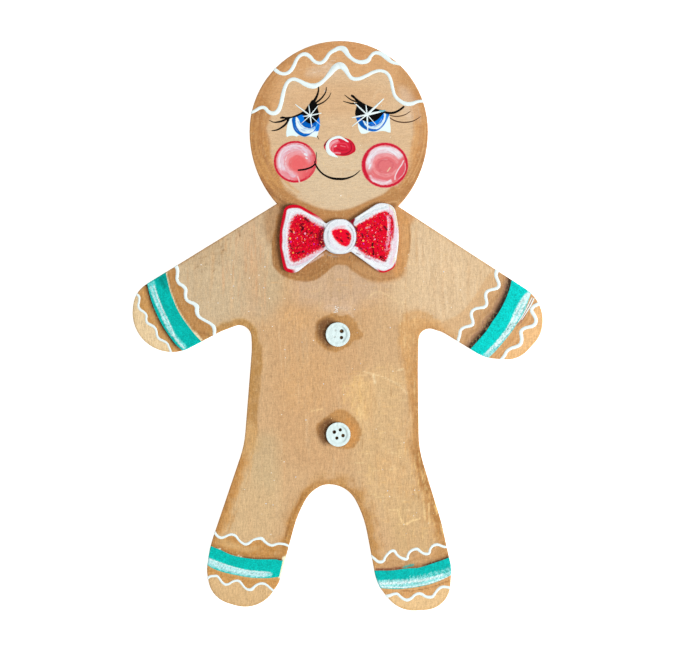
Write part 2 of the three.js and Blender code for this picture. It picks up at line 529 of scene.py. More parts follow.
def flakes(name, spots, thick, tilt, dice):
    # small six-sided flakes as one piece, from the x, y, height, radius and colour of each
    bpy.ops.mesh.primitive_cylinder_add(vertices=6, radius=mm, depth=thick * mm)
    flake = bpy.context.object
    pieces = []
    for x, y, z, size, colour in spots:
        piece = duplicate(flake)
        tiltX, tiltY = np.radians(dice.uniform(-tilt, tilt, 2))
        piece.rotation_euler = (tiltX, tiltY, dice.uniform(0, math.pi))
        piece.scale = (size, size, 1)
        piece.location = (x * mm, y * mm, z * mm)
        keepCoat({"piece": piece, "rgb": np.tile(seen(colour), (len(piece.data.vertices), 1))})
        pieces.append(piece)
    bpy.data.objects.remove(flake)
    whole = joined(name, pieces)
    pick(whole)
    bpy.ops.object.transform_apply(location=True, rotation=True, scale=True)
    return whole


# materials

def addNode(tree, kind, **settings):
    node = tree.nodes.new(kind)
    for key, value in settings.items():
        if key in node.inputs:
            node.inputs[key].default_value = value
        else:
            setattr(node, key, value)
    return node


def marks(size, tone, height=0.0, **more):
    # one grain of a look: millimetres across and along, how much it changes the tone and the height
    return dict(size=size, tone=tone, height=height, **more)


def grainNoise(tree, place, grain):
    # noise whose cells are grain["size"] millimetres, turned by grain["turn"] degrees
    wide, tall = grain["size"]
    mapping = addNode(tree, "ShaderNodeMapping", vector_type="TEXTURE",
                      Rotation=(0, 0, math.radians(grain.get("turn", 0))),
                      Scale=(wide * mm, tall * mm, grain.get("deep", 4) * mm))
    noise = addNode(tree, "ShaderNodeTexNoise", Scale=1.0, Detail=grain.get("detail", 2.5), Roughness=0.6)
    tree.links.new(place, mapping.inputs["Vector"])
    tree.links.new(mapping.outputs["Vector"], noise.inputs["Vector"])
    return noise.outputs["Fac"]


def weigh(tree, parts, base):
    # base plus each noise, taken about its middle, times its weight
    total = None
    for value, weight in parts:
        step = addNode(tree, "ShaderNodeMath", operation="MULTIPLY_ADD")
        tree.links.new(value, step.inputs[0])
        step.inputs[1].default_value = weight
        if total is None:
            step.inputs[2].default_value = base - 0.5 * sum(weight for _, weight in parts)
        else:
            tree.links.new(total, step.inputs[2])
        total = step.outputs[0]
    return total


def paintMaterial(name, look, colour=None):
    # paint coloured by the coat or by one colour, with the brush marks of its look
    material = bpy.data.materials.new(name)
    material.use_nodes = True
    tree = material.node_tree
    shader = tree.nodes["Principled BSDF"]
    place = addNode(tree, "ShaderNodeTexCoord").outputs["Object"]
    coatColour = addNode(tree, "ShaderNodeVertexColor", layer_name="coat")
    grains = []
    for grain in look["grains"]:
        value = grainNoise(tree, place, grain)
        if "brushed" in grain:
            share = addNode(tree, "ShaderNodeMixRGB", Color1=(0.5, 0.5, 0.5, 1), Color2=(0.5, 0.5, 0.5, 1))
            tree.links.new(coatColour.outputs["Alpha"], share.inputs["Fac"])
            tree.links.new(value, share.inputs["Color2" if grain["brushed"] == "across" else "Color1"])
            value = share.outputs["Color"]
        grains.append((value, grain))
    tone = addNode(tree, "ShaderNodeHueSaturation")
    if colour is None:
        tree.links.new(coatColour.outputs["Color"], tone.inputs["Color"])
    else:
        tone.inputs["Color"].default_value = (*seen(colour), 1)
    tree.links.new(weigh(tree, [(value, grain["tone"]) for value, grain in grains], 1.0),
                   tone.inputs["Value"])
    mixed = tone.outputs["Color"]
    for fleck in look.get("flecks", []):
        cover = addNode(tree, "ShaderNodeMapRange", interpolation_type="SMOOTHSTEP")
        cover.inputs["From Min"].default_value, cover.inputs["From Max"].default_value = fleck["range"]
        cover.inputs["To Max"].default_value = fleck["strength"]
        tree.links.new(grainNoise(tree, place, fleck), cover.inputs["Value"])
        blend = addNode(tree, "ShaderNodeMixRGB", Color2=(*seen(fleck["colour"]), 1))
        tree.links.new(cover.outputs["Result"], blend.inputs["Fac"])
        tree.links.new(mixed, blend.inputs["Color1"])
        mixed = blend.outputs["Color"]
    tree.links.new(mixed, shader.inputs["Base Color"])
    bump = addNode(tree, "ShaderNodeBump", Strength=look["bump"], Distance=look.get("bumpHeight", 0.15) * mm)
    tree.links.new(weigh(tree, [(value, grain["height"]) for value, grain in grains], 0.5),
                   bump.inputs["Height"])
    tree.links.new(bump.outputs["Normal"], shader.inputs["Normal"])
    tree.links.new(weigh(tree, [(grains[0][0], look.get("polish", 0.15))], look["roughness"]),
                   shader.inputs["Roughness"])
    shader.inputs["Specular IOR Level"].default_value = look["shine"]
    return material


# camera, light and floor

studio = {
    "lens": 85.0,                     # millimetres, on a 36 mm sensor
    "seenWidth": 361.1,               # how much of the board's plane the picture spans
    "aim": (-0.08, -0.15),
    "keyPlace": (1.45, -0.5, 1.9), "keySize": 1.0, "keyPower": 62.0,
    "skyStrength": 0.55,
    "floorColour": "fcfcfc", "floorGlow": 0.75,
}


def setStudio():
    scene = bpy.context.scene
    scene.view_settings.view_transform = "Standard"
    aimX, aimY = studio["aim"]
    height = boardTop + studio["seenWidth"] * studio["lens"] / 36
    bpy.ops.object.camera_add(location=(aimX * mm, aimY * mm, height * mm))
    camera = bpy.context.object
    camera.data.lens = studio["lens"]
    camera.data.sensor_width = 36
    camera.data.clip_start = 0.01
    scene.camera = camera

    bpy.ops.object.light_add(type="AREA", location=studio["keyPlace"])
    key = bpy.context.object
    key.data.size = studio["keySize"]
    key.data.energy = studio["keyPower"]
    key.rotation_euler = key.location.to_track_quat("Z", "Y").to_euler()

    world = bpy.data.worlds.new("studio")
    scene.world = world
    world.use_nodes = True
    sky = world.node_tree.nodes["Background"]
    sky.inputs["Color"].default_value = (1, 1, 1, 1)
    sky.inputs["Strength"].default_value = studio["skyStrength"]

    bpy.ops.mesh.primitive_plane_add(size=6, location=(0, 0, -0.0002))
    floor = bpy.context.object
    floor.name = "floor"
    material = bpy.data.materials.new("paleFloor")
    material.use_nodes = True
    shader = material.node_tree.nodes["Principled BSDF"]
    shader.inputs["Base Color"].default_value = (*seen(studio["floorColour"]), 1)
    shader.inputs["Roughness"].default_value = 0.8
    shader.inputs["Emission Color"].default_value = (1, 1, 1, 1)
    shader.inputs["Emission Strength"].default_value = studio["floorGlow"]
    floor.data.materials.append(material)


setStudio()
print("studio set")


# the arms and legs: squiggles of icing with x, y and width, and the two edges of the teal band

leftArm = {
    "innerLine": [(-86.3, 31.8, 1.9), (-85.4, 29.9, 1.9), (-85.4, 27.1, 1.7), (-85.6, 24.6, 1.6),
        (-84.5, 22.4, 1.7), (-82.4, 21, 1.8), (-81, 19.2, 1.9), (-81.1, 16.4, 1.8), (-80.6, 13.9, 1.6),
        (-78.8, 12.4, 1.7), (-76.6, 11.5, 1.9), (-75, 9.9, 2.5), (-75, 7.4, 2.2), (-74.1, 4.9, 1.7),
        (-72.4, 3.5, 1.5), (-69.9, 2.1, 1.5), (-67.4, 0.6, 1.6), (-65.9, -1.1, 2.1), (-65.6, -5.4, 1.6)],
    "outerLine": [(-107.4, 16.8, 1.3), (-105.9, 15.2, 1.3), (-105.9, 12.8, 1.1), (-106.3, 10.3, 1.2),
        (-105.4, 8.5, 1.3), (-103.4, 7.1, 1.2), (-102, 5.3, 1.2), (-102.1, 3.1, 1.2), (-101.6, 1.4, 1.3),
        (-99.9, 0.3, 1.4), (-97.7, -1.1, 1.3), (-96.6, -3.3, 1.2), (-96.3, -5.4, 1.2), (-95.2, -7.2, 1.3),
        (-93.1, -8.3, 1.2), (-90.9, -9.7, 1.1), (-89.8, -11.9, 1.1), (-88.7, -14.8, 1.2)],
    "bandInner": [(-91.6, 28), (-90.6, 23.5), (-89.5, 18.9), (-87.7, 13.9), (-85.6, 8.9), (-82.7, 3.9),
        (-79.1, -1.1), (-75.9, -5.1), (-72.7, -8.6)],
    "bandOuter": [(-101.5, 22.3), (-100.9, 19.2), (-99.9, 15.2), (-98.6, 11.1), (-97.1, 7.5), (-95.1, 3.2),
        (-92.7, -1.2), (-89.8, -5.6), (-86.6, -9.9), (-83, -13.4)],
    "tip": [(-92, -24), (-120, -14), (-120, 24)],
}
rightArm = {
    "innerLine": [(86.2, 30.5, 2.5), (85, 26.9, 1.9), (85.8, 24.4, 1.7), (86.6, 22.2, 1.8),
        (86.3, 20.4, 1.8), (84.5, 19.4, 1.6), (82, 18.8, 1.5), (80, 17.6, 1.7), (79.5, 15.4, 1.8),
        (80, 12.9, 1.6), (80, 11.1, 1.7), (78.8, 9.7, 1.7), (76.3, 9.2, 1.5), (73.8, 8.6, 1.5),
        (72, 6.9, 1.7), (72, 4.4, 1.7), (72.7, 2.2, 1.6), (72.4, 0.3, 1.8), (70.6, -0.5, 1.6),
        (68.1, -1.2, 1.5), (66.1, -2.8, 1.6), (65.6, -5.3, 1.7), (64.6, -8.6, 1.7)],
    "outerLine": [(107.6, 11.3, 1.9), (104.9, 9.7, 1.9), (104.1, 7.9, 1.9), (105.2, 5.8, 2), (106.3, 3.6, 2),
        (106.3, 1.5, 2), (104.9, -0.3, 2), (102.4, -1, 1.8), (99.9, -1.9, 1.8), (98.4, -3.5, 2),
        (98.6, -5.6, 2), (98.8, -7.8, 2), (98.1, -10.1, 2), (95.9, -11.5, 1.9), (93.1, -12.4, 1.7),
        (90.9, -14, 1.7), (89.5, -16.4, 1.8), (87.6, -18.8, 1.8)],
    "bandInner": [(93.6, 24.4), (92.4, 19.7), (90.6, 14.7), (88.4, 10.1), (85.9, 5.8), (83.1, 1.9),
        (79.9, -3.1), (77.4, -6), (72, -12.1)],
    "bandOuter": [(103.6, 16.5), (102.7, 14), (100.9, 9), (98.8, 4.7), (96.3, 0.8), (93.4, -3.5),
        (90.6, -7.1), (87, -11.4), (83.4, -15.3), (80.9, -17.6)],
    "tip": [(92, -30), (120, -20), (120, 14)],
}
leftLeg = {
    "innerLine": [(-65.6, -110.5, 1.3), (-64, -112.8, 1.4), (-62, -113.7, 1.4), (-60, -113.2, 1.2),
        (-58, -112.3, 1.2), (-56, -112, 1.3), (-54.3, -112.7, 1.3), (-52.7, -114.7, 1.1),
        (-50.7, -116.5, 1.2), (-48.7, -117.2, 1.5), (-47, -116.5, 1.4), (-45, -115, 1.1), (-43, -114.3, 1.3),
        (-40.3, -114.2, 1.8), (-38.7, -115.7, 1.3), (-36.7, -117.2, 1.3), (-34.7, -117.8, 1.4),
        (-32, -117, 1.2), (-29.3, -117, 1.3), (-27.3, -117.5, 1.3), (-25.3, -118.5, 1.2)],
    "outerLine": [(-69.8, -136, 1.2), (-68, -134.5, 1.3), (-66, -134.2, 1.3), (-64.2, -134.2, 1.2),
        (-62.8, -135.7, 1.1), (-61.3, -137.7, 1.2), (-59.7, -138.7, 1.3), (-58, -138.5, 1.2),
        (-56, -137.3, 1.1), (-54, -136.7, 1.2), (-52.3, -137, 1.3), (-50.7, -138.7, 1.1), (-49, -140.7, 1.1),
        (-47.3, -141.5, 1.4), (-45.7, -141.3, 1.8), (-44, -139.7, 1.3), (-42, -138.5, 1.2),
        (-39.7, -138.2, 1.3), (-37.7, -139, 1.2), (-35.7, -140.7, 1.1), (-33.4, -142.6, 1.2)],
    "bandInner": [(-67.3, -118.2), (-64.7, -119.3), (-62, -120.3), (-59.3, -121.7), (-56, -123), (-52, -124),
        (-48, -124.7), (-44, -125.2), (-38.7, -125.3), (-32.7, -125.3), (-29, -125.8)],
    "bandOuter": [(-69.5, -128.3), (-67, -129.8), (-63.7, -131.2), (-58.7, -132.7), (-53.3, -133.8),
        (-48, -134.8), (-42, -135.3), (-37, -135.3), (-32, -135), (-30.8, -134.3)],
    "tip": [(-26, -156), (-50, -165), (-80, -150)],
}
rightLeg = {
    "innerLine": [(18.3, -123.5, 1.3), (20.2, -125.1, 1.4), (21.6, -126.3, 1.5), (23.1, -126.7, 1.6),
        (24.7, -126.2, 1.5), (25.7, -124.3, 1.3), (27.4, -122.2, 1.3), (29.2, -120.8, 1.5),
        (30.6, -120.8, 1.5), (31.9, -122.6, 1.3), (33.7, -124.1, 1.3), (35.7, -125, 1.6), (37.4, -125, 1.6),
        (37.8, -123.6, 1.2), (38.8, -121.5, 1.3), (40.9, -120.1, 1.4), (43, -119.8, 1.6),
        (44.3, -120.8, 1.3), (46.1, -122, 1.3), (47.8, -122.4, 1.5), (49.2, -122, 1.4), (49.9, -119.8, 1.2),
        (51.6, -117.9, 1.4), (53.7, -117.4, 1.5), (55.4, -117.9, 1.3), (57.4, -118.6, 1.3),
        (59.4, -118.6, 1.3)],
    "outerLine": [(26, -145.3, 2), (28.8, -144.4, 1.6), (30.6, -143.8, 1.4), (32.3, -143.8, 1.4),
        (34, -145.3, 1.4), (36.1, -146.7, 1.5), (37.8, -147, 1.7), (39.9, -146, 1.5), (41.6, -144.4, 1.3),
        (43.7, -143.6, 1.5), (45.4, -143.9, 1.5), (47.1, -145, 1.4), (49.2, -145.5, 1.6),
        (51.2, -145.1, 1.6), (52.6, -143.2, 1.3), (54.3, -141.2, 1.4), (56.1, -140.1, 1.5),
        (58.5, -140.1, 1.4), (61, -140.6, 1.4)],
    "bandInner": [(20, -131.3), (24.3, -131.3), (29.5, -131.2), (34.7, -130.5), (39.9, -130), (43.3, -129.8),
        (46.8, -128.9), (51.9, -127.2), (56.4, -125.7), (59.7, -124.4)],
    "bandOuter": [(23.5, -140.7), (27.8, -141), (32.3, -141.2), (38.1, -140.7), (43.3, -140), (48.5, -138.9),
        (53.7, -137.2), (57.4, -135.6), (60.9, -133.8)],
    "tip": [(66, -165), (30, -170), (14, -150)],
}
limbs = {"leftArm": leftArm, "rightArm": rightArm, "leftLeg": leftLeg, "rightLeg": rightLeg}

hair = {
    "upperLine": [(-34.1, 137.6, 1.9), (-32.3, 136, 2), (-30, 134.7, 1.8), (-27, 134.7, 1.8),
        (-24.6, 136.4, 2), (-23, 139, 2), (-21.4, 142.4, 1.8), (-19.4, 144.4, 1.8), (-17, 145, 2.1),
        (-14.8, 143.9, 2.1), (-12.8, 141.8, 1.8), (-10.6, 140.4, 1.7), (-8.4, 140.4, 1.8), (-6.3, 142, 2),
        (-4, 145.3, 1.9), (-1.3, 147.1, 2.1), (1.6, 148.2, 2.4), (4, 147.4, 3.2), (5.6, 145, 2.4),
        (8, 142.6, 1.8), (11, 141, 2), (14.2, 140.8, 2.3), (16.6, 141.7, 2.4), (18, 143.8, 1.7),
        (20.2, 145.6, 1.8), (23, 145.4, 2.2), (26, 143.6, 2.7), (29.2, 140.9, 1.9), (33.4, 139.6, 1.3)],
    "lowerLine": [(-46.9, 113.4, 1.5), (-44, 114.6, 1.6), (-41, 116.3, 1.8), (-38.8, 116.3, 1.8),
        (-36.8, 114.3, 2), (-34.4, 113.3, 2.2), (-32, 114.2, 2.5), (-30.3, 117.5, 2.2), (-29.2, 122, 2.2),
        (-28.1, 126.5, 2), (-26.2, 130.2, 1.9), (-23.6, 131.6, 1.9), (-20.6, 130.9, 1.9), (-17, 129, 2.5),
        (-13, 127.9, 2.9), (-9.5, 129, 2.2), (-6.4, 131.6, 2), (-3.6, 134.8, 2.7), (-0.8, 138, 3.4),
        (1.8, 138.9, 3.6), (4.2, 137.2, 3), (5.8, 134.6, 2.1), (8, 132.1, 2), (11.4, 131.8, 1.9),
        (15.6, 133.4, 1.8), (19.6, 135.4, 1.7), (23.6, 136.1, 1.6), (26.9, 134.6, 1.7), (28.8, 131, 1.7),
        (29.8, 126.6, 1.7), (31, 122.8, 1.8), (33.6, 120.1, 1.9), (36.8, 118.5, 2.2), (40, 118.5, 2.1),
        (43, 119.6, 1.6), (46.6, 119.9, 1.5)],
}


def extended(points, reach=3.0):
    # a line carried on past both ends
    points = [tuple(point[:2]) for point in points]
    ends = []
    for inner, end in ((points[1], points[0]), (points[-2], points[-1])):
        length = math.hypot(end[0] - inner[0], end[1] - inner[1])
        ends.append(tuple(end[i] + (end[i] - inner[i]) / length * reach for i in (0, 1)))
    return [ends[0]] + points + [ends[1]]


def ribbon(oneEdge, otherEdge):
    # the area between two lines that run the same way
    return np.vstack([smoothLine(extended(oneEdge)), smoothLine(extended(otherEdge))[::-1]])


# the board: its blank and the coat painted on it

board = {
    "arris": 0.7, "cell": 0.7,
    "ground": "d3ac7f",
    "back": "cea67a", "backHeight": 0.8,       # how far the back's coat runs up the sides
    "worn": {"reach": 1.1, "strength": 0.5, "colour": "c49460"},      # along the arris
    "shell": 0.3, "skin": 0.06,         # how far paint lines may stand off the board, and the teal bands
    "look": {
        "grains": [
            marks((0.42, 2.8), 1.0, 0.7, brushed="upright"),
            marks((3.4, 0.42), 0.50, 0.5, brushed="across"),
            marks((2.4, 0.42), 0.42, 0.4, brushed="upright"),
            marks((0.42, 0.42), 0.75, 0.4),
            marks((12, 24), 0.08),
        ],
        # the ground showing through, and golden paint caught on the weave
        "flecks": [
            {"size": (0.6, 2.2), "range": (0.57, 0.70), "colour": "f0ce98", "strength": 0.3},
            {"size": (2.2, 0.6), "range": (0.58, 0.70), "colour": "ecc288", "strength": 0.26},
            {"size": (0.6, 1.2), "range": (0.62, 0.74), "colour": "a07448", "strength": 0.14},
        ],
        "bump": 0.5, "roughness": 0.6, "polish": 0.2, "shine": 0.12,
    },
}
tan = {
    "grey": "cfb895", "peach": "e0c29a", "warm": "d2a677", "gold": "dab684", "orange": "e0ae74",
    "face": "ddbb93", "chin": "ddc4a1", "crown": "d59c67", "temple": "ac7544", "bark": "865834",
    "soot": "140d0a",
}

boardFields = [
    patch(tan["grey"], [(-96, 30), (-60, 52), (-36, 66), (-26, 44), (-30, 6), (-48, 5), (-62, -1), (-76, 4)],
        0.9, 14),
    patch(tan["peach"], [(36, 66), (95, 32), (86, 6), (66, -8), (50, 5), (30, 10), (30, 44)], 0.9, 16),
    patch(tan["warm"], [(-30, 30), (16, 34), (14, -20), (8, -72), (-20, -76), (-34, -40)], 0.8, 16),
    patch("ceae8e", [(-16, 34), (22, 34), (22, 14), (-20, 12)], 0.8, 12),
    patch(tan["gold"], [(12, -30), (34, -24), (38, -60), (44, -88), (40, -108), (28, -110), (14, -84),
        (8, -56)], 0.7, 14),
    patch("d8b88a", [(-46, -70), (-30, -84), (-36, -116), (-62, -112), (-56, -84)], 0.8, 14),
    patch("d2ae7c", [(34, -94), (46, -92), (54, -124), (32, -122)], 0.8, 10),
    patch("cab086", [(-46, -62), (-33, -60), (-33, -86), (-44, -84)], 0.7, 10),
    patch("cab08a", [(-49, 32), (-31, 30), (-30, 13), (-46, 12)], 0.7, 10),
    patch("e8be82", [(8, -30), (18, -31), (18, -49), (9, -48)], 0.7, 5, mottle=0.4, grain=4),
    patch("d8a87e", [(-52, 50), (-42, 56), (-40, 14), (-48, 6), (-50, 26)], 0.3, 8),
    patch("be9c72", [(-78, 40), (-62, 47), (-58, 38), (-74, 30)], 0.5, 8, mottle=0.7, grain=4),
    patch(tan["orange"], [(-30, 8), (-16, 9), (-14, 0), (-24, -2)], 0.5, 6, mottle=0.8, grain=3),
    patch(tan["orange"], [(-28, -20), (-8, -18), (-6, -42), (-26, -44)], 0.35, 9, mottle=0.7, grain=4),
    patch("d6b698", [(-4, 16), (10, 14), (8, 6), (-4, 8)], 0.5, 6),
    patch(tan["orange"], [(20, -70), (34, -72), (40, -92), (26, -86)], 0.35, 8, mottle=0.6, grain=4),
]

# loose brush work over those fields
wholeFigure = [(-112, -20), (-112, 22), (-60, 52), (-40, 66), (40, 66), (96, 34), (112, 10), (108, -20),
    (84, -20), (46, 2), (40, -60), (66, -120), (62, -152), (30, -152), (0, -80), (-34, -150), (-72, -150),
    (-68, -112), (-48, -60), (-48, 0), (-80, -20)]
lowRight = [(8, -26), (36, -28), (38, -70), (52, -108), (26, -112), (10, -72)]
brushWork = [
    *streaks(wholeFigure, ["e8c89e", "c29c6e", "deb282", "ccae86", "d6a876"], 520, (10, 36), (0.9, 2.4),
        (0.12, 0.42), dry=0.5, seed=21),
    # peach down the left shoulder and pale streaks down the right one
    *streaks([(-60, 48), (-40, 58), (-36, 20), (-46, 12), (-60, 16)], ["e4b284", "d69c6c", "eac496"], 60,
        (8, 26), (0.8, 1.6), (0.25, 0.55), dry=0.5, seed=22),
    *streaks([(38, 56), (64, 44), (76, 14), (60, 0), (46, 8), (38, 28)], ["f2dab6", "eccea6", "ceac86"], 110,
        (12, 34), (0.8, 1.9), (0.15, 0.38), turn=94, dry=0.4, seed=23),
    # dark crumbs of dry paint near the left arm's upper edge
    *streaks([(-80, 38), (-64, 48), (-58, 44), (-60, 32), (-76, 28)], ["966e48", "84603c"], 46, (0.6, 2.6),
        (0.7, 1), (0.3, 0.7), turn=60, spread=60, seed=24),
    stroke(1.8, "92643a", [(-52.6, 50.4), (-52, 47.6)], 0.7, soft=1.2),
    # golden dry brushing, mostly across, low on the right
    *streaks(lowRight, ["eec688", "e6b878", "f4d49c"], 150, (2, 8), (0.7, 1.1), (0.25, 0.65), turn=0,
        spread=7, seed=25),
    *streaks(lowRight, ["eec688", "e6b878", "b88a58"], 110, (3, 12), (0.7, 1.2), (0.2, 0.55), seed=26),
    *streaks([(-34, 24), (24, 26), (22, -14), (6, -50), (-32, -60)], ["e6b87e", "deac72", "ba8e62"], 170,
        (1.5, 7), (0.7, 1.1), (0.2, 0.5), turn=0, spread=8, seed=27),
    *streaks([(5, -26), (13, -28), (16, -46), (10, -48), (3, -42)], ["f4d094", "ecc07c"], 26, (3, 9),
        (0.8, 1.3), (0.35, 0.7), turn=84, spread=12, seed=28),
    *streaks([(0, -46), (4, -30), (18, -30), (16, -38)], ["f0c88a"], 14, (3, 8), (0.8, 1.2), (0.3, 0.6),
        turn=2, spread=8, seed=29),
]

# the darker paint floated along the sawn edges
leftSide = [(-66, -8), (-45.6, -7), (-38, -18), (-36, -50), (-44, -66), (-56, -66), (-60, -30)]
leftPit = [(-72, -14), (-60, 8), (-46, 12), (-36, 4), (-36, -12), (-52, -14)]
leftThigh = [(-44, -56), (-38, -70), (-50, -122), (-74, -122), (-60, -60)]
crotch = [(-34, -122), (-34, -92), (-14, -70), (10, -70), (28, -92), (34, -124), (16, -126), (0, -92),
    (-16, -124)]
leftShank = [(-34, -124), (-34, -100), (-22, -84), (-12, -88), (-18, -124)]
rightShank = [(0, -76), (12, -80), (24, -98), (28, -124), (12, -126), (2, -96)]
rightThigh = [(40, -60), (32, -74), (48, -124), (74, -124), (60, -60)]
rightSide = [(33.9, 0.7), (33.9, -12), (36.4, -24), (38.2, -39), (39.5, -49), (40.1, -62), (42, -74),
    (60, -74), (56, -20), (50, 2)]
rightPit = [(33.9, 0), (37.6, 6.9), (45.1, 8.1), (52.5, 4.4), (62, -3.1), (66, -14), (50, -20), (35, -16)]
boardFloats = [
    floated(1.6, "be9262", [(-104, 20), (-60, 60), (-40, 66), (-34, 56), (-84, 24)], 0.5, 1.6),
    floated(1.5, "cea06e", [(34, 62), (44, 68), (110, 24), (92, 18)], 0.5, 1.6),
    floated(6.8, "b7884c", leftSide, 0.92, 1.3, ragged=0.07, grain=16),
    floated(3.4, "c89658", leftSide, 0.4, 2.6, mottle=0.3),
    floated(4.8, "cea66c", leftPit, 0.9, 2.4, ragged=0.15),
    floated(3.8, "ba8a4e", leftPit, 0.9, 1.4, ragged=0.15),
    floated(7.4, "cc985a", leftThigh, soft=4.5, ragged=0.2),
    floated(4.2, "ba8244", leftThigh, 0.85, 3, ragged=0.2),
    patch("d09c61", rightSide, 0.92, 2, ragged=0.5, mottle=0.2),
    floated(5, "c0884c", rightSide, 0.8, 3, mottle=0.3),
    patch("d8a870", rightPit, 0.85, 2.2, ragged=0.8, mottle=0.3),
    floated(4, "c8945c", rightPit, 0.6, 3, mottle=0.3),
    floated(5, "be8a52", [(34, -40), (54, -40), (58, -82), (38, -80)], 0.75, 4, mottle=0.3),
    floated(9, "ca9c68", crotch, 0.7, 6, mottle=0.3),
    floated(4.8, "c28f54", crotch, 0.9, 3, ragged=0.2),
    floated(4.8, "bc8646", leftShank, 0.8, 2.4, ragged=0.15),
    stroke(2.6, "9e6830", [(-28.5, -119), (-26.8, -111), (-22.5, -99.4), (-18, -92), (-13, -87)], 0.7,
        soft=0.9, dry=0.2, fade=(0, 6)),
    floated(4.8, "c29054", rightShank, 0.85, 2.6),
    floated(9.6, "cc9a62", rightThigh, 0.85, 6, ragged=0.25, mottle=0.3),
    floated(5.4, "be8a50", rightThigh, 0.85, 3.4, ragged=0.3, mottle=0.3),
    floated(6, "ac743c", [(40, -68), (38, -80), (46, -90), (60, -84), (52, -66)], 0.95, 3.6, mottle=0.2),
    floated(5, "b47e44", [(48, -94), (46, -108), (68, -112), (62, -92)], 0.75, 3, mottle=0.3),
    *streaks([(33, 0), (45, 0), (44, -66), (52, -96), (44, -98), (36, -66)], ["e2b47a", "bc8850", "d8a668",
        "f0cc92"], 70, (6, 20), (0.7, 1.3), (0.25, 0.6), turn=92, seed=31),
    *streaks([(44, -70), (66, -118), (54, -118), (40, -80)], ["ecbe78", "b07c42", "f4d08c"], 80, (2.5, 9),
        (0.7, 1.1), (0.3, 0.7), turn=106, spread=8, seed=32),
    *streaks([(-48, -62), (-68, -114), (-60, -116), (-42, -66)], ["deac68", "b88242"], 44, (4, 14),
        (0.7, 1.1), (0.25, 0.55), turn=72, seed=33),
    *streaks([(-20, -94), (-8, -80), (6, -80), (18, -92), (10, -92), (-2, -84), (-12, -90)], ["a8763e",
        "d8aa6c"], 26, (3, 8), (0.7, 1), (0.25, 0.55), turn=20, spread=50, seed=34),
    *streaks([(-28, -120), (-24, -98), (-16, -88), (-14, -92), (-24, -122)], ["a67238", "d4a05a"], 30,
        (4, 12), (0.7, 1.1), (0.3, 0.6), turn=72, spread=8, seed=35),
    *streaks([(8, -84), (16, -88), (26, -122), (20, -124)], ["a6743c", "d8a868"], 28, (4, 12), (0.7, 1.1),
        (0.3, 0.6), turn=108, spread=8, seed=36),
    *streaks([(34, 4), (50, 6), (60, 0), (48, -4), (36, -6)], ["deb074", "b4824c"], 40, (1.5, 6), (0.7, 1.1),
        (0.25, 0.55), turn=0, spread=10, seed=37),
]

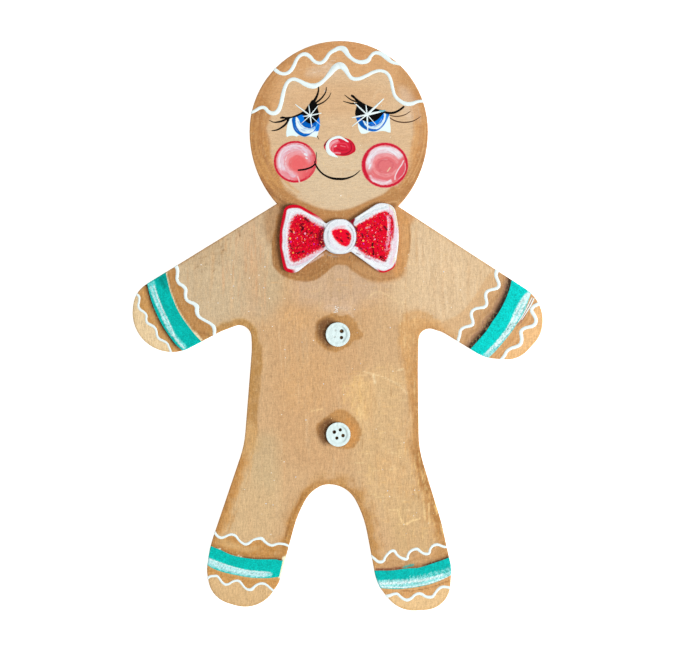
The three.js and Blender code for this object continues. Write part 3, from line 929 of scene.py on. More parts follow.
headOutline = [(-47.5, 104), (-40, 133), (-20, 150), (1.5, 153.5), (24, 149), (42, 132), (49, 104), (42, 78),
    (30, 64.5), (0, 56), (-30, 64.5), (-42, 78)]
chinLine = [(-31, 73.6), (-21.4, 67.8), (-14.9, 64.8), (-8.6, 62.5), (-1.3, 61.4), (5, 62), (10.2, 63.6),
    (17, 66.7), (24.8, 70.2), (31, 74.4)]
crownLine = [(-46, 140), (-30, 155), (0, 168), (34, 156), (42, 140)]
leftNeck = [(-25, 62), (-31.4, 63.4), (-36, 66.6), (-60, 74)]
rightNeck = [(25, 62), (31.4, 63.2), (36, 66.2), (60, 74)]
headFloats = [
    patch(tan["face"], headOutline, soft=1),
    patch(tan["chin"], [(-24, 94), (24, 94), (30, 76), (18, 66), (0, 59.5), (-18, 67), (-30, 77)], 0.95, 8),
    patch("dbb286", [(-26, 126), (0, 130), (26, 126), (24, 116), (0, 112), (-24, 114)], 0.8, 8),
    *streaks([(-34, 120), (0, 136), (36, 118), (38, 84), (0, 62), (-34, 84)], ["eccca4", "cea67a", "e2be92"],
        130, (4, 14), (0.7, 1.3), (0.15, 0.4), turn=0, spread=5, dry=0.5, seed=41),
    *streaks([(-30, 128), (0, 136), (36, 128), (30, 84), (0, 62), (-30, 84)], ["e8c69c", "cca276"], 70,
        (5, 16), (0.7, 1.3), (0.12, 0.32), dry=0.5, seed=42),
    patch("d9a774", ribbon([(-52, 128), (-30, 155), (0, 168), (34, 156), (54, 130)], hair["lowerLine"]),
        soft=0.8, straight=True),
    patch("e2c4a4", [(-14, 138), (-2, 140), (0, 134), (-16, 133)], 0.6, 4),
    patch(tan["crown"], ribbon(crownLine, hair["upperLine"]), 0.95, 0.8, straight=True),
    floated(9, "c28c56", [(-44, 140), (-24, 158), (-12, 152), (-22, 142), (-36, 132)], 0.75, 7),
    patch("c48e5a", [(-52, 114), (-40, 114), (-37, 122), (-33, 130), (-32, 142), (-42, 146)], 0.9, 5),
    patch("c89460", [(52, 118), (41, 119), (35, 126), (33, 136), (42, 142)], 0.85, 7),
    # the shaded sides
    floated(10.8, "be844e", [(-60, 118), (-36, 118), (-28, 70)] + leftNeck, soft=2.2, ragged=0.07, grain=14),
    floated(7.8, tan["temple"], [(-60, 114), (-36, 114), (-28, 74)] + leftNeck, 0.92, 3, ragged=0.1),
    floated(2.2, "ce985c", [(-60, 120), (-38, 120), (-34, 84), (-54, 84)], 0.8, 1.4),
    floated(9.2, "c68c54", [(60, 122), (38, 122), (30, 74)] + rightNeck, soft=3.4, ragged=0.1, grain=14),
    floated(5.6, "b27c4a", [(60, 92), (38, 88), (28, 70)] + rightNeck, 0.85, 4),
    patch("e2cab0", [(33, 127), (38, 126), (43, 118), (45, 110), (40, 109), (35, 116)], 0.5, 5),
    *arcStreaks(1, 104.5, (38.5, 47), (172, 232), ["e0aa68", "a87240", "d29a5c"], 90, (0.7, 1.2),
        (0.25, 0.6), squash=1.03, seed=43),
    *arcStreaks(1, 104.5, (39.5, 47.5), (-52, 12), ["e8b47a", "b8804c", "dea86c"], 70, (0.7, 1.2),
        (0.2, 0.5), squash=1.03, seed=44),
    *arcStreaks(1, 104.5, (41, 48), (40, 140), ["e0aa70", "ba804c"], 60, (0.7, 1.1), (0.2, 0.5), squash=1.02,
        seed=45),
    *arcStreaks(1, 104.5, (37, 47), (138, 172), ["b47e4a", "deac72"], 44, (0.7, 1.2), (0.2, 0.5),
        squash=1.03, seed=46),
    *streaks([(-14, 141), (0, 144), (2, 136), (-18, 134)], ["f0e2d0", "e8ceb0"], 22, (3, 8), (0.7, 1),
        (0.25, 0.6), turn=6, seed=47),
    # under the chin
    patch("bc8752", chinLine + [(35, 67), (31, 62), (24, 50), (0, 46), (-24, 50), (-31, 62), (-35, 67)],
        soft=1.6),
    patch(tan["bark"], [(-31, 64.6), (-26, 64.4), (-17, 61), (-10, 57.6), (-6, 52), (-27, 58)], 0.85, 2.6),
    patch("94643c", [(31, 64.6), (26, 64.6), (17, 60.6), (10.4, 57), (7, 51), (27, 58)], 0.8, 2.6),
    stroke(1.6, "8c5c36", [(-38, 73), (-30, 66.8), (-22, 63.6), (-14, 60)], 0.75, dry=0.3),
    stroke(1, "a47042", [(-36, 73.6), (-28, 68), (-20, 64.8), (-12, 61)], 0.6, dry=0.3),
    stroke(0.9, "d6a268", [(-34, 72), (-26, 67.2), (-18, 63.8), (-11, 60.2)], 0.6, dry=0.4),
    stroke(1.6, "cc9860", [(10, 61.8), (20, 66), (28, 70.4), (34, 75)], 0.6, dry=0.4),
    stroke(2, "ce9a5e", [(-9, 57.4), (-3, 55.8), (4, 56), (10, 58)], 0.6, dry=0.5),
    stroke(1.4, "e2b27e", [(26, 65), (31, 66), (35, 64)], 0.7, soft=1),
]
bowFloatsAndShadow = [
    patch("b08256", [(-39, 60), (-33, 64), (-26, 62), (-28, 48), (-36, 44), (-39, 52)], 0.75, 6),
    patch("ab7845", [(-29, 60), (-33, 52), (-34.9, 44), (-34.6, 34), (-33.1, 30.3), (-30, 27.2),
        (-24.8, 24.6), (-19.5, 23.5), (-13.8, 23.5), (-9.6, 25.1), (-5.5, 28.2), (-2.3, 31.4), (1.3, 32.3),
        (5, 31.9), (8.1, 29.3), (12.8, 26.2), (18, 24.1), (24.8, 23.5), (31.1, 25.1), (35.3, 28.2), (34, 36),
        (33, 50), (20, 60), (0, 50)], 0.97, 0.8, ragged=0.15),
    patch("c79663", [(9, 34), (9, 29), (18, 23.4), (25, 22.8), (34, 25), (37, 30), (33, 38), (20, 34)], 0.85,
        3),
    patch("be8a56", [(-8, 38), (-4, 33), (0, 32.6), (5, 32.2), (9, 34), (8, 38)], 0.7, 2),
    patch("d0995e", [(30, 28), (36, 30), (38.8, 40), (38.8, 54), (35, 60), (30, 60)], 0.9, 1.6),
    stroke(1.6, "b4804c", [(38.6, 54), (39, 47), (38.4, 39)], 0.8, soft=0.8, dry=0.2),
    # darker brown down the left of the bow: float, deepened as painted shadow of the bow
    patch("96673c", [(-30, 57), (-33, 48), (-33.6, 38), (-30.6, 29), (-27, 27), (-24, 40), (-24, 56)], 0.5,
        3),
    stroke(1.6, "e4cebe", [(-14.6, 33.6), (-11, 35.6), (-7.6, 37.8)], 0.8, dry=0.2),
    stroke(2.6, "96663a", [(-26, 29), (-17.6, 26.4), (-10, 28.4), (-4, 33)], 0.5, soft=1),
    stroke(1.4, "c4925c", [(-25.4, 26.8), (-19.6, 25.8), (-14.6, 26.8)], 0.5, dry=0.5),
    stroke(1, "c49258", [(-26, 25), (-18, 24.6), (-11, 27), (-5.6, 31.2)], 0.5, dry=0.4),
    stroke(2.4, "a07042", [(-4, 35), (1, 36), (7, 34.4)], 0.5, soft=1),
    stroke(1.6, "a87646", [(9, 30.4), (14, 27), (22, 24.6), (30, 25.4)], 0.5, dry=0.4),
    # grey paint that ran off the knot
    stroke(0.9, "b0a89e", [(-6, 38.6), (-4, 37.4), (-1.4, 36.9)], 0.7, dry=0.3),
    stroke(0.7, "c8c0b6", [(-1, 36.5), (2.4, 36.4)], 0.6, dry=0.3),
    stroke(0.7, "645446", [(-5.6, 37.4), (-5.2, 36.2)], 0.6),
    stroke(0.7, "5a5048", [(6.2, 37.6), (6.6, 35.8)], 0.7),
]
shoulderShade = patch("ce9258", [(33, 65), (37, 62), (42, 58.4), (38, 53), (32, 57)], 0.8, 4)
hipLight = patch("dab27a", [(-56, -56), (-46, -52), (-42, -66), (-56, -70)], 0.6, 6)
buttonFloatsAndShadows = [
    patch("bc8a52", [(-2.9, 6.3), (0.3, 5.4), (2.4, 4.8), (5.3, 5.4), (7.7, 4.2), (10.2, 1.8), (11.4, -1.5),
        (13.9, -4.4), (12.8, -7.3), (8.6, -8.6), (7.6, -10.6), (5.3, -11.8), (0.3, -14.2), (-3.8, -14),
        (-7, -12.6), (-9.5, -10.1), (-11.5, -7.7), (-11.7, -4.4), (-10.9, -1.1), (-11.3, 1.1), (-9.9, 3.2),
        (-7.4, 4.2)], soft=1.1, ragged=0.3, grain=3, mottle=0.15),
    # near-black brown hugging the left of the upper button: float, deepened as painted shadow of the button
    patch("704828", [(-6.6, 3.4), (-10.6, 0.6), (-10.6, -5), (-8, -9.2), (-4, -12), (2, -5), (-2, 2.8)], 0.9,
        3.6),
    patch("be8a50", [(0, -45.2), (3.6, -45.2), (5.7, -46.2), (9, -49.1), (11, -51.5), (12.2, -54.4),
        (13.3, -57.7), (12.2, -59.6), (11.6, -62), (8.1, -65.9), (2.4, -65.9), (-3.8, -63.8), (-6.6, -61.8),
        (-10, -59.2), (-11.4, -55.6), (-10.6, -53), (-8, -50.8), (-4.4, -47.8)], soft=1.1, ragged=0.3,
        grain=3, mottle=0.15),
    patch("d49654", [(5, -50), (8, -51.4), (10.6, -55), (11, -60), (8, -64.4), (4, -64)], 0.8, 3),
    # the same float and painted shadow, left of the lower button
    patch("704828", [(-6.4, -50.6), (-10, -54.6), (-9.8, -60), (-6, -64), (2, -58), (-2, -50.4)], 0.9, 3.6),
]
scratches = [
    stroke(1, "eed0a0", [(14, -24.8), (24, -27.6), (32, -31.4), (37.5, -36.6)], 0.8, dry=0.3),
    stroke(1.4, "f4daac", [(19.5, -27), (20.4, -31)], 0.9),
    stroke(1.2, "f0d4a4", [(32.4, -24), (35.4, -23.6)], 0.8),
    stroke(1.4, "f0c890", [(-13.5, -46), (-8, -44.8)], 0.85, dry=0.3),
    stroke(1.3, "f4d096", [(32.6, -98.5), (33.8, -103), (36, -106.4), (40, -104.8), (44.6, -103.4)], 0.9,
        dry=0.2),
    stroke(1.2, "f4d096", [(37, -106.8), (41, -104)], 0.8, dry=0.2),
    stroke(1.4, "f2ce92", [(46.5, -95), (47, -104)], 0.8, dry=0.3),
    stroke(1.4, "f2ce92", [(49, -95.5), (49.4, -106)], 0.8, dry=0.3),
    stroke(1.3, "f0cc94", [(28, -99), (33, -98.6)], 0.8, dry=0.3),
    stroke(1.3, "f6cc80", [(52.5, -92), (53.4, -101)], 0.8, dry=0.3),
    stroke(1.6, "e8c8a0", [(19, 120), (22, 126), (25, 124)], 0.5, dry=0.6),
    stroke(0.8, "96683c", [(4, -86.5), (8, -88.8), (13, -94.5)], 0.6),
    stroke(1.1, "eece9c", [(16, 14), (22, 18), (32, 13), (37, 12)], 0.6, dry=0.4),
    stroke(5, "d6bea8", [(-6, 9), (6, 9.4)], 0.3, dry=0.5),
    stroke(0.9, "e0d0bc", [(2, 9.6), (5.6, 7.6), (8.6, 4.8)], 0.4, dry=0.4),
]

blank, rim = sawnBlank("board", "boardPaint", board["arris"])
shell = grown(blank, board["shell"])
skin = grown(blank, board["skin"])
gridTop(blank, board["cell"], boardTop - 0.02)
coat = startCoat(blank, board["ground"])
coat["gap"], _, _ = measure(coat["xy"], *rim)
paint(coat, boardFields)
paint(coat, brushWork)
worn = board["worn"]
wornReach = worn["reach"] + 0.4 * ripple(coat["xy"], 9, 5)
lay(coat, everywhere, worn["strength"] * ramp(wornReach - coat["gap"], 0, worn["reach"]), worn["colour"])

# the bare tips, and the caramel outside and inside each teal band
tips = {"leftArm": (239, 212, 167), "rightArm": (241, 192, 134), "leftLeg": (221, 184, 133),
        "rightLeg": (234, 196, 142)}
caramels = {"leftArm": ((190, 138, 80), (204, 152, 88)), "rightArm": ((202, 156, 108), (212, 159, 104)),
            "leftLeg": ((196, 141, 76), (206, 151, 84)), "rightLeg": ((200, 154, 104), (212, 158, 98))}
for seed, (limbName, limb) in enumerate(limbs.items()):
    inside, outside = caramels[limbName]
    tipLine = smoothLine(extended(limb["outerLine"]))
    tipColour = np.array(tips[limbName])
    tipArea = np.vstack([tipLine, limb["tip"]])
    area(coat, tipArea, tipColour, soft=0.8, straight=True, mottle=0.12)
    paint(coat, streaks(tipArea[::4], [tipColour + (12, 12, 14), tipColour - (26, 30, 36)], 60, (2, 9),
                        (0.7, 1.2), (0.15, 0.5), turn=80, spread=30, seed=51 + seed))
    for colour, oneEdge, otherEdge in ((outside, limb["bandOuter"], limb["outerLine"]),
                                       (inside, limb["innerLine"], limb["bandInner"])):
        colour = np.array(colour)
        area(coat, ribbon(oneEdge, otherEdge), colour, soft=0.8, straight=True, mottle=0.1)
        dice = np.random.default_rng(61 + seed)
        for _ in range(16):
            shade = colour + dice.choice((-30, -18, 16, 28)) * np.array((0.9, 1, 1.1))
            brush(coat, between(oneEdge, otherEdge, dice.uniform(0.08, 0.92)), shade, dice.uniform(0.7, 1.3),
                  strength=dice.uniform(0.2, 0.5), dry=0.8, soft=0.9, seed=int(dice.integers(900)))
    edgeFloat(coat, np.vstack([tipLine[::6], limb["tip"]]), tipColour - (22, 30, 42), 1.8, 0.5, 1.8)

legLight = patch("e0ba82", [(-72, -110), (-60, -114.4), (-48, -118.6), (-40, -118), (-48, -121), (-62, -118),
    (-70, -116)], 0.65, 3, mottle=0.2)
paint(coat, [legLight])
paint(coat, headFloats)
paint(coat, boardFloats)
paint(coat, [hipLight, shoulderShade] + bowFloatsAndShadow)
paint(coat, buttonFloatsAndShadows)
paint(coat, scratches)

# the dark paint floated against one edge of every band, and the cream it was cut in with
cream = "faecc4"
bandFloats = [
    stroke(3, "7c502a", leftArm["bandOuter"], 0.7, side=-1, soft=1),
    stroke(1.3, tan["soot"], leftArm["bandOuter"], 0.95, side=-1, soft=0.8, fade=(0, 5)),
    stroke(2.2, "96622e", leftArm["bandInner"], 0.5, side=1, soft=1),
    stroke(1.6, cream, leftArm["bandInner"], 0.9, dry=0.3),
    stroke(1.8, cream, [(-76.5, -4), (-73.6, -6.8), (-71.4, -9.4)], dry=0.3, ragged=0.4),
    stroke(3, "8c5c30", [(-73.6, -3.6), (-69.6, -5), (-66.6, -6.6)], 0.6, soft=1, dry=0.4),
    stroke(6.6, "7a523c", rightArm["bandInner"], 0.85, side=-1, soft=1),
    stroke(3.6, tan["soot"], rightArm["bandInner"], 0.98, side=-1, soft=0.8),
    patch("d6ac7c", [(88, 32), (81, 27), (76, 19), (70, 10.6), (64, 5), (56, 0.6), (64.6, -8), (67, -3),
        (72.4, 2), (72.4, 6), (80, 12), (80, 16), (86, 21), (85.4, 27)], 0.75, 1.4),
    stroke(1.6, "966c5c", between(rightArm["bandInner"], rightArm["innerLine"], 0.34), 0.5, dry=0.5),
    stroke(1.6, "9e7064", [(104.4, 13.5), (102.2, 9), (99.8, 4), (96.6, 0)], 0.65),
    stroke(3, "9e6834", leftLeg["bandInner"], 0.6, side=1, soft=1),
    stroke(0.9, "421e16", leftLeg["bandInner"][5:], 0.9, side=1, soft=0.8, fade=(4, 0)),
    stroke(0.9, "783222", leftLeg["bandInner"][1:5], 0.7, dry=0.8),
    stroke(0.9, "f6eedc", [(-63.6, -119.4), (-62.4, -119.9)]),
    stroke(0.8, "f6e4d2", [(-53, -123.4), (-51.4, -123.8)]),
    stroke(0.9, "5c3222", rightLeg["bandInner"][:6], 0.85, side=1, soft=0.8),
    stroke(3.6, "926038", rightLeg["bandInner"][2:], 0.75, side=1, soft=1, fade=(8, 0)),
    stroke(1.5, "2c1812", rightLeg["bandInner"][5:], 0.9, side=1, soft=0.8, fade=(6, 0)),
    stroke(0.7, "925e2e", [(34, -142.4), (44, -141.6), (52, -139.6), (60, -136.6)], 0.7),
    stroke(2.6, "fcfad6", [(-28.2, -124.8), (-28.9, -129.5), (-30.2, -134.8)], soft=0.3),
    stroke(1.6, "70281e", [(21, -130.6), (27, -130.4), (34, -129.8)], 0.8, dry=0.3),
    # a smear of teal that missed the band
    stroke(1.8, "1eaa9c", [(35.8, -129.6), (38.2, -128.8), (40.8, -128.2)], 0.9, soft=0.7),
]
paint(coat, bandFloats)
coat["across"] = np.where(insideOf(coat["xy"], closedLine(headOutline)), 1.0, 0.1)
lay(coat, coat["z"] < board["backHeight"], 1, board["back"])
keepCoat(coat)
smooth(blank)
settle(blank, paintMaterial("brushedTan", board["look"]), "board")

# specks of pale paint spattered over it
specks = {
    "seed": 71, "sizes": (0.14, 0.34), "thick": 0.04, "colours": ["faf0dc", "f8deaa", "e2e8f0", "fffaf0"],
    "places": [
        ([(-84, 26), (-40, 56), (-30, 10), (-60, 4)], 16),
        ([(36, 56), (80, 30), (60, 0), (34, 10)], 9),
        ([(-40, 24), (34, 24), (36, -60), (-40, -60)], 30),
        ([(36, -60), (60, -116), (30, -120), (16, -78)], 18),
        ([(-42, -66), (-62, -116), (-30, -116), (-14, -78)], 14),
        ([(-30, 126), (34, 126), (36, 80), (0, 64), (-30, 80)], 12),
    ],
    # a few together above the upper button
    "crumbs": [(-0.7, 10), (0.6, 9.4), (-0.9, 9.1), (-0.3, 8.7), (0.1, 8.3), (-0.6, 7.7), (-1.5, 7),
        (-0.7, 6.9), (0.2, 7.2)],
}
dice = np.random.default_rng(specks["seed"])
spots = []
for place, count in specks["places"]:
    place = np.array(place, float)
    path = np.vstack([place, place[:1]])
    wanted = len(spots) + count
    while len(spots) < wanted:
        spot = dice.uniform(place.min(axis=0), place.max(axis=0))
        if insideOf(spot[None, :], path)[0]:
            spots.append((*spot, boardTop + 0.01, dice.uniform(*specks["sizes"]),
                          specks["colours"][dice.integers(len(specks["colours"]))]))
for x, y in specks["crumbs"]:
    spots.append((x, y, boardTop + 0.02, 0.3, "f6f6f0"))
spotPaint = paintMaterial("paintSpecks", {"grains": [marks((1, 1), 0.1, 0.2)],
                                          "bump": 0.1, "roughness": 0.5, "shine": 0.1})
settle(flakes("paintSpecks", spots, specks["thick"], tilt=2, dice=dice), spotPaint)
print("board painted")


# teal bands, painted over the arris and down the sawn edge

band = {
    "cell": 0.4, "lowest": 1.4,
    "colours": {"leftArm": "00beb4", "rightArm": "00d8d0", "leftLeg": "00c8bc", "rightLeg": "00beb6"},
    "look": {
        "grains": [marks((0.6, 0.6), 1.3, 0.8), marks((5, 5), 0.45)],
        "flecks": [{"size": (0.7, 0.7), "range": (0.50, 0.62), "colour": "008c84", "strength": 0.45}],
        "bump": 0.6, "roughness": 0.5, "polish": 0.2, "shine": 0.05,
    },
}
aqua = "7ae8e4"
ice = "cef4f6"
snow = "f0fefe"
deepTeal = "008e86"
leftArmStrokes = [
    patch(deepTeal, [(-97, 25), (-90, 29), (-88, 20), (-92, 19)], 0.6, 4, mottle=0.5, grain=2),
    stroke(2.2, "00887c", [(-96, 26.6), (-93.6, 23.6), (-92.4, 20)], 0.9, dry=0.6),
    stroke(1.4, "00887c", [(-94, 27), (-91.6, 24.4)], 0.8, dry=0.5),
    patch(aqua, [(-102, 24), (-100.4, 19.2), (-98.3, 14.3), (-96.4, 10), (-93.5, 3.9), (-89.7, -2.9),
        (-86, -7.6), (-83, -11.6), (-81, -14.6), (-80.4, -11.6), (-84, -7.6), (-87.2, -3.3), (-90.6, 3.6),
        (-93.7, 10.2), (-96.2, 16.6), (-98, 24)], soft=0.4, ragged=0.2, mottle=0.35, grain=1.6),
    stroke(1.5, ice, [(-99.6, 20.6), (-97.6, 14.8), (-94.6, 7.6), (-91, 0.8)], dry=0.7, ragged=0.3),
    stroke(0.8, ice, [(-98.6, 16.2), (-96, 9.8), (-92.4, 3), (-88.6, -3.2)], dry=0.5),
    stroke(1, snow, [(-98.2, 22), (-96.6, 17), (-94.4, 11), (-92.7, 7), (-90.2, 2.2)], dry=0.15, ragged=0.2,
        fade=(1, 5)),
    stroke(0.9, snow, [(-91.4, 4.4), (-89.6, 0.6), (-87.4, -4.4)], dry=0.3),
    stroke(1.3, ice, [(-93.4, 4), (-90.6, -1.6), (-88.2, -5.4)], dry=0.8),
    stroke(1.6, snow, [(-87.6, -5), (-85.2, -8.6), (-82, -12)], dry=0.5, ragged=0.3),
]
rightArmStrokes = [
    patch("b0f0f0", [(105, 19), (101, 17), (97.6, 12.6), (95.4, 8.4), (93.4, 4), (90.9, -1.4), (87, -6.4),
        (82.9, -11.4), (78.2, -15.8), (75, -20), (80, -22), (96, -2), (106, 16)], soft=0.5, ragged=0.25,
        mottle=0.3, grain=1.6),
    stroke(1.8, "e4fafa", [(101.8, 16.6), (98.6, 12), (96, 7.4), (93.4, 1.6), (90, -3.8), (85.2, -9.6),
        (80.4, -14.6)], dry=0.5, ragged=0.3),
    stroke(2, snow, [(102.6, 16.6), (99.4, 9.6), (95.6, 2.2), (90.8, -4.6), (85, -11.4)], dry=0.55,
        ragged=0.4),
    stroke(0.8, snow, [(101, 16.4), (98.4, 12.4), (95.2, 6), (91.8, -0.4)], dry=0.2),
    stroke(0.7, "60d6d2", [(102.4, 13.4), (99.6, 7), (96, 1)], dry=0.5),
    stroke(1.2, "3cbebe", [(96.6, 1.6), (92.8, -4), (88, -9.6), (84, -14)], 0.8, dry=1),
    stroke(0.8, "145a60", [(93, 0.6), (90.4, -3.4)], dry=1),
]
leftLegStrokes = [
    patch(deepTeal, [(-60, -122), (-52, -124.6), (-44, -126), (-34, -126.6), (-40, -129), (-52, -127.6),
        (-62, -124.6)], 0.2, 3, mottle=0.7, grain=2),
    patch("a6ecec", [(-71, -124.4), (-68, -124.6), (-63.7, -126.4), (-58.7, -128.4), (-53.7, -129.9),
        (-48.7, -131), (-43.7, -131.6), (-37, -131.8), (-34.3, -133.3), (-36.3, -134.4), (-42, -135),
        (-50, -134.2), (-60, -131.7), (-66, -129.6), (-72, -126.8)], soft=0.4, ragged=0.2, mottle=0.25,
        grain=1.6),
    stroke(0.9, snow, [(-69.5, -124.6), (-63.7, -126.8), (-56, -129.4), (-48.7, -131.2), (-41, -132),
        (-36, -132.4)], dry=0.2, ragged=0.2),
    stroke(2.6, ice, [(-70, -126.2), (-62, -129.1), (-54, -131.6), (-46, -133), (-39, -133.6)], dry=0.35,
        ragged=0.2),
]
rightLegStrokes = [
    patch("aceeee", [(20, -137.4), (24, -136.6), (29.5, -136.2), (34.7, -135.9), (39.9, -135.7), (45, -135),
        (50.2, -134.6), (55.4, -133.4), (63, -131.4), (64, -134), (56, -136.2), (46, -139), (38, -140.2),
        (28, -140.6), (20, -140.2)], soft=0.6, ragged=0.4, mottle=0.3, grain=1.6),
    stroke(2.8, "96e8e6", [(40, -135.6), (48, -134), (56, -132), (62, -130.2)], 0.9, dry=1, ragged=0.5,
        seed=5),
    stroke(0.9, snow, [(24, -139.9), (32, -140.4), (40, -139.9), (48, -138.4), (56, -136), (61, -134.2)],
        dry=0.15, ragged=0.2),
    stroke(1.8, snow, [(23, -138.2), (32, -137.8), (40, -137.2), (48, -136), (56, -133.8)], dry=0.5,
        ragged=0.4),
]
bandStrokes = {
    "leftArm": leftArmStrokes, "rightArm": rightArmStrokes, "leftLeg": leftLegStrokes,
    "rightLeg": rightLegStrokes,
}
bandPaint = paintMaterial("tealBand", band["look"])
for limbName, limb in limbs.items():
    inner, outer = extended(limb["bandInner"]), extended(limb["bandOuter"])[::-1]
    outline = []
    for edge in (inner, outer):
        outline += [(*edge[0], "corner")] + edge[1:-1] + [(*edge[-1], "corner")]
    if limbName == "leftLeg":
        # this band stops short of the inside edge
        outline = [(-70.5, -117, "corner")] + inner[1:-1] + [(-28.9, -125.3, "corner")]
        outline += [(-30.9, -134.6, "corner")] + outer[3:-1] + [(-72.5, -127, "corner")]
    film = duplicate(skin)
    film.name = limbName + "Band"
    cut(film, outlineBlock(limbName, outline, band["lowest"], boardTop + 1))
    gridTop(film, band["cell"], boardTop + 0.05)
    finishFilm(film, band["colours"][limbName], bandStrokes[limbName], bandPaint)
print("bands painted")


# squiggles of white icing paint

icing = {
    "flat": 0.34, "colour": "eefcfc",
    "look": {
        "grains": [marks((1.4, 1.4), 0.10, 1.0), marks((9, 9), 0.06)],
        "bump": 0.5, "roughness": 0.42, "polish": 0.2, "shine": 0.2,
    },
}
icingPaint = paintMaterial("whiteIcing", icing["look"], icing["colour"])
for limbName, limb in limbs.items():
    for lineName in ("innerLine", "outerLine"):
        line = paintLine(limbName + lineName.capitalize(), limb[lineName], icing["flat"],
                         tips=(-1.5, -1.5), shell=shell)
        settle(line, icingPaint)
for lineName in ("upperLine", "lowerLine"):
    line = paintLine("hair" + lineName.capitalize(), hair[lineName], icing["flat"], tips=(-1.5, -1.5),
                     shell=shell)
    settle(line, icingPaint)
fringes = [paintLine("fringe", route, flat=0.2, shell=shell) for route in (
    [(105.3, 14.2, 0.6), (103.4, 10.3, 0.6), (101.1, 6.5, 0.5), (98.8, 3.1, 0.3)],
    [(104.2, 14.6, 0.5), (102.2, 10.4, 0.5), (99.8, 6, 0.4), (97, 1.6, 0.3)])]
settle(joined("bandFringe", fringes), icingPaint)
print("icing piped")


# cheeks and nose: round films of paint, blended wet

softPaint = {
    "grains": [marks((0.9, 0.9), 0.22, 0.8), marks((5, 5), 0.08)],
    "bump": 0.4, "roughness": 0.5, "polish": 0.2, "shine": 0.06,
}
rose = {"ring": "d01a36", "pink": "eea8ae", "white": "ecf0f6"}
leftCheekStrokes = [
    stroke(6.6, "e8ccda", arc(-22.2, 87.6, 7.8, 7.8, 262, 8, 14), soft=0.9, dry=0.4, seed=4),
    stroke(2.4, "eee2ec", arc(-22, 87.4, 9, 9, 196, 66, 10), dry=0.6, seed=9),
    stroke(3, rose["pink"], arc(-21.4, 86.6, 5.6, 5.4, 260, 20, 12), dry=0.5, seed=5),
    patch("ee6a6c", arc(-20.2, 86, 5, 4.6, 0, 360, 13)[:-1], soft=4),
    patch("e85c62", [(-13, 92), (-11.4, 88), (-12, 83), (-15.5, 79), (-18, 80.6), (-14.6, 85.6), (-15, 90)],
        0.75, 3, ragged=0.4),
    *arcStreaks(-22, 87.3, (5.4, 10.2), (40, 255), ["f6f2f8", "ecc4cc", "f0e4ec", "e296a0"], 110,
        (0.35, 0.8), (0.35, 0.8), seed=81),
    *arcStreaks(-20.6, 86.2, (1.5, 6), (0, 360), ["f68c8c", "e2545a", "f0a8ac"], 50, (0.35, 0.8),
        (0.25, 0.55), seed=82),
    stroke(1.6, "eed8e0", arc(-22.3, 87.4, 9.6, 9.3, 250, 215, 6), dry=0.5),
    patch("ec6068", [(-31, 82), (-28, 79.2), (-23, 77.2), (-18, 76.6), (-14, 79), (-12.4, 82.4),
        (-15.4, 81.6), (-19, 79.6), (-24, 79.6), (-28.4, 82.4)], 0.6, 1.8, ragged=0.6),
    stroke(1.3, rose["ring"], arc(-22.3, 87.4, 10.9, 10.6, 48, 300, 18), ragged=0.2, soft=0.4),
    stroke(1.8, "d63848", arc(-22.3, 87.4, 10.8, 10.5, -62, 52, 12), 0.85, ragged=0.4, dry=0.3),
    stroke(0.8, "e2828e", arc(-22.3, 87.4, 9.8, 9.5, 60, 120, 8), dry=0.5),
    stroke(1.5, rose["white"], [(-17.2, 91.6), (-16.3, 90.9)]),
    stroke(0.9, rose["white"], [(-16.6, 89.5), (-16, 89.1)]),
    stroke(1, "f0c4c8", [(-21, 79.4), (-20.5, 78), (-20, 76.4)]),
    stroke(1, rose["ring"], [(-14.6, 79.4), (-13.6, 78.6)]),
]
leftCheek = {
    "outline": arc(-22.3, 87.4, 11.5, 11.2, 0, 360, 17)[:-1], "colour": "ec7a7a",
    "strokes": leftCheekStrokes,
}
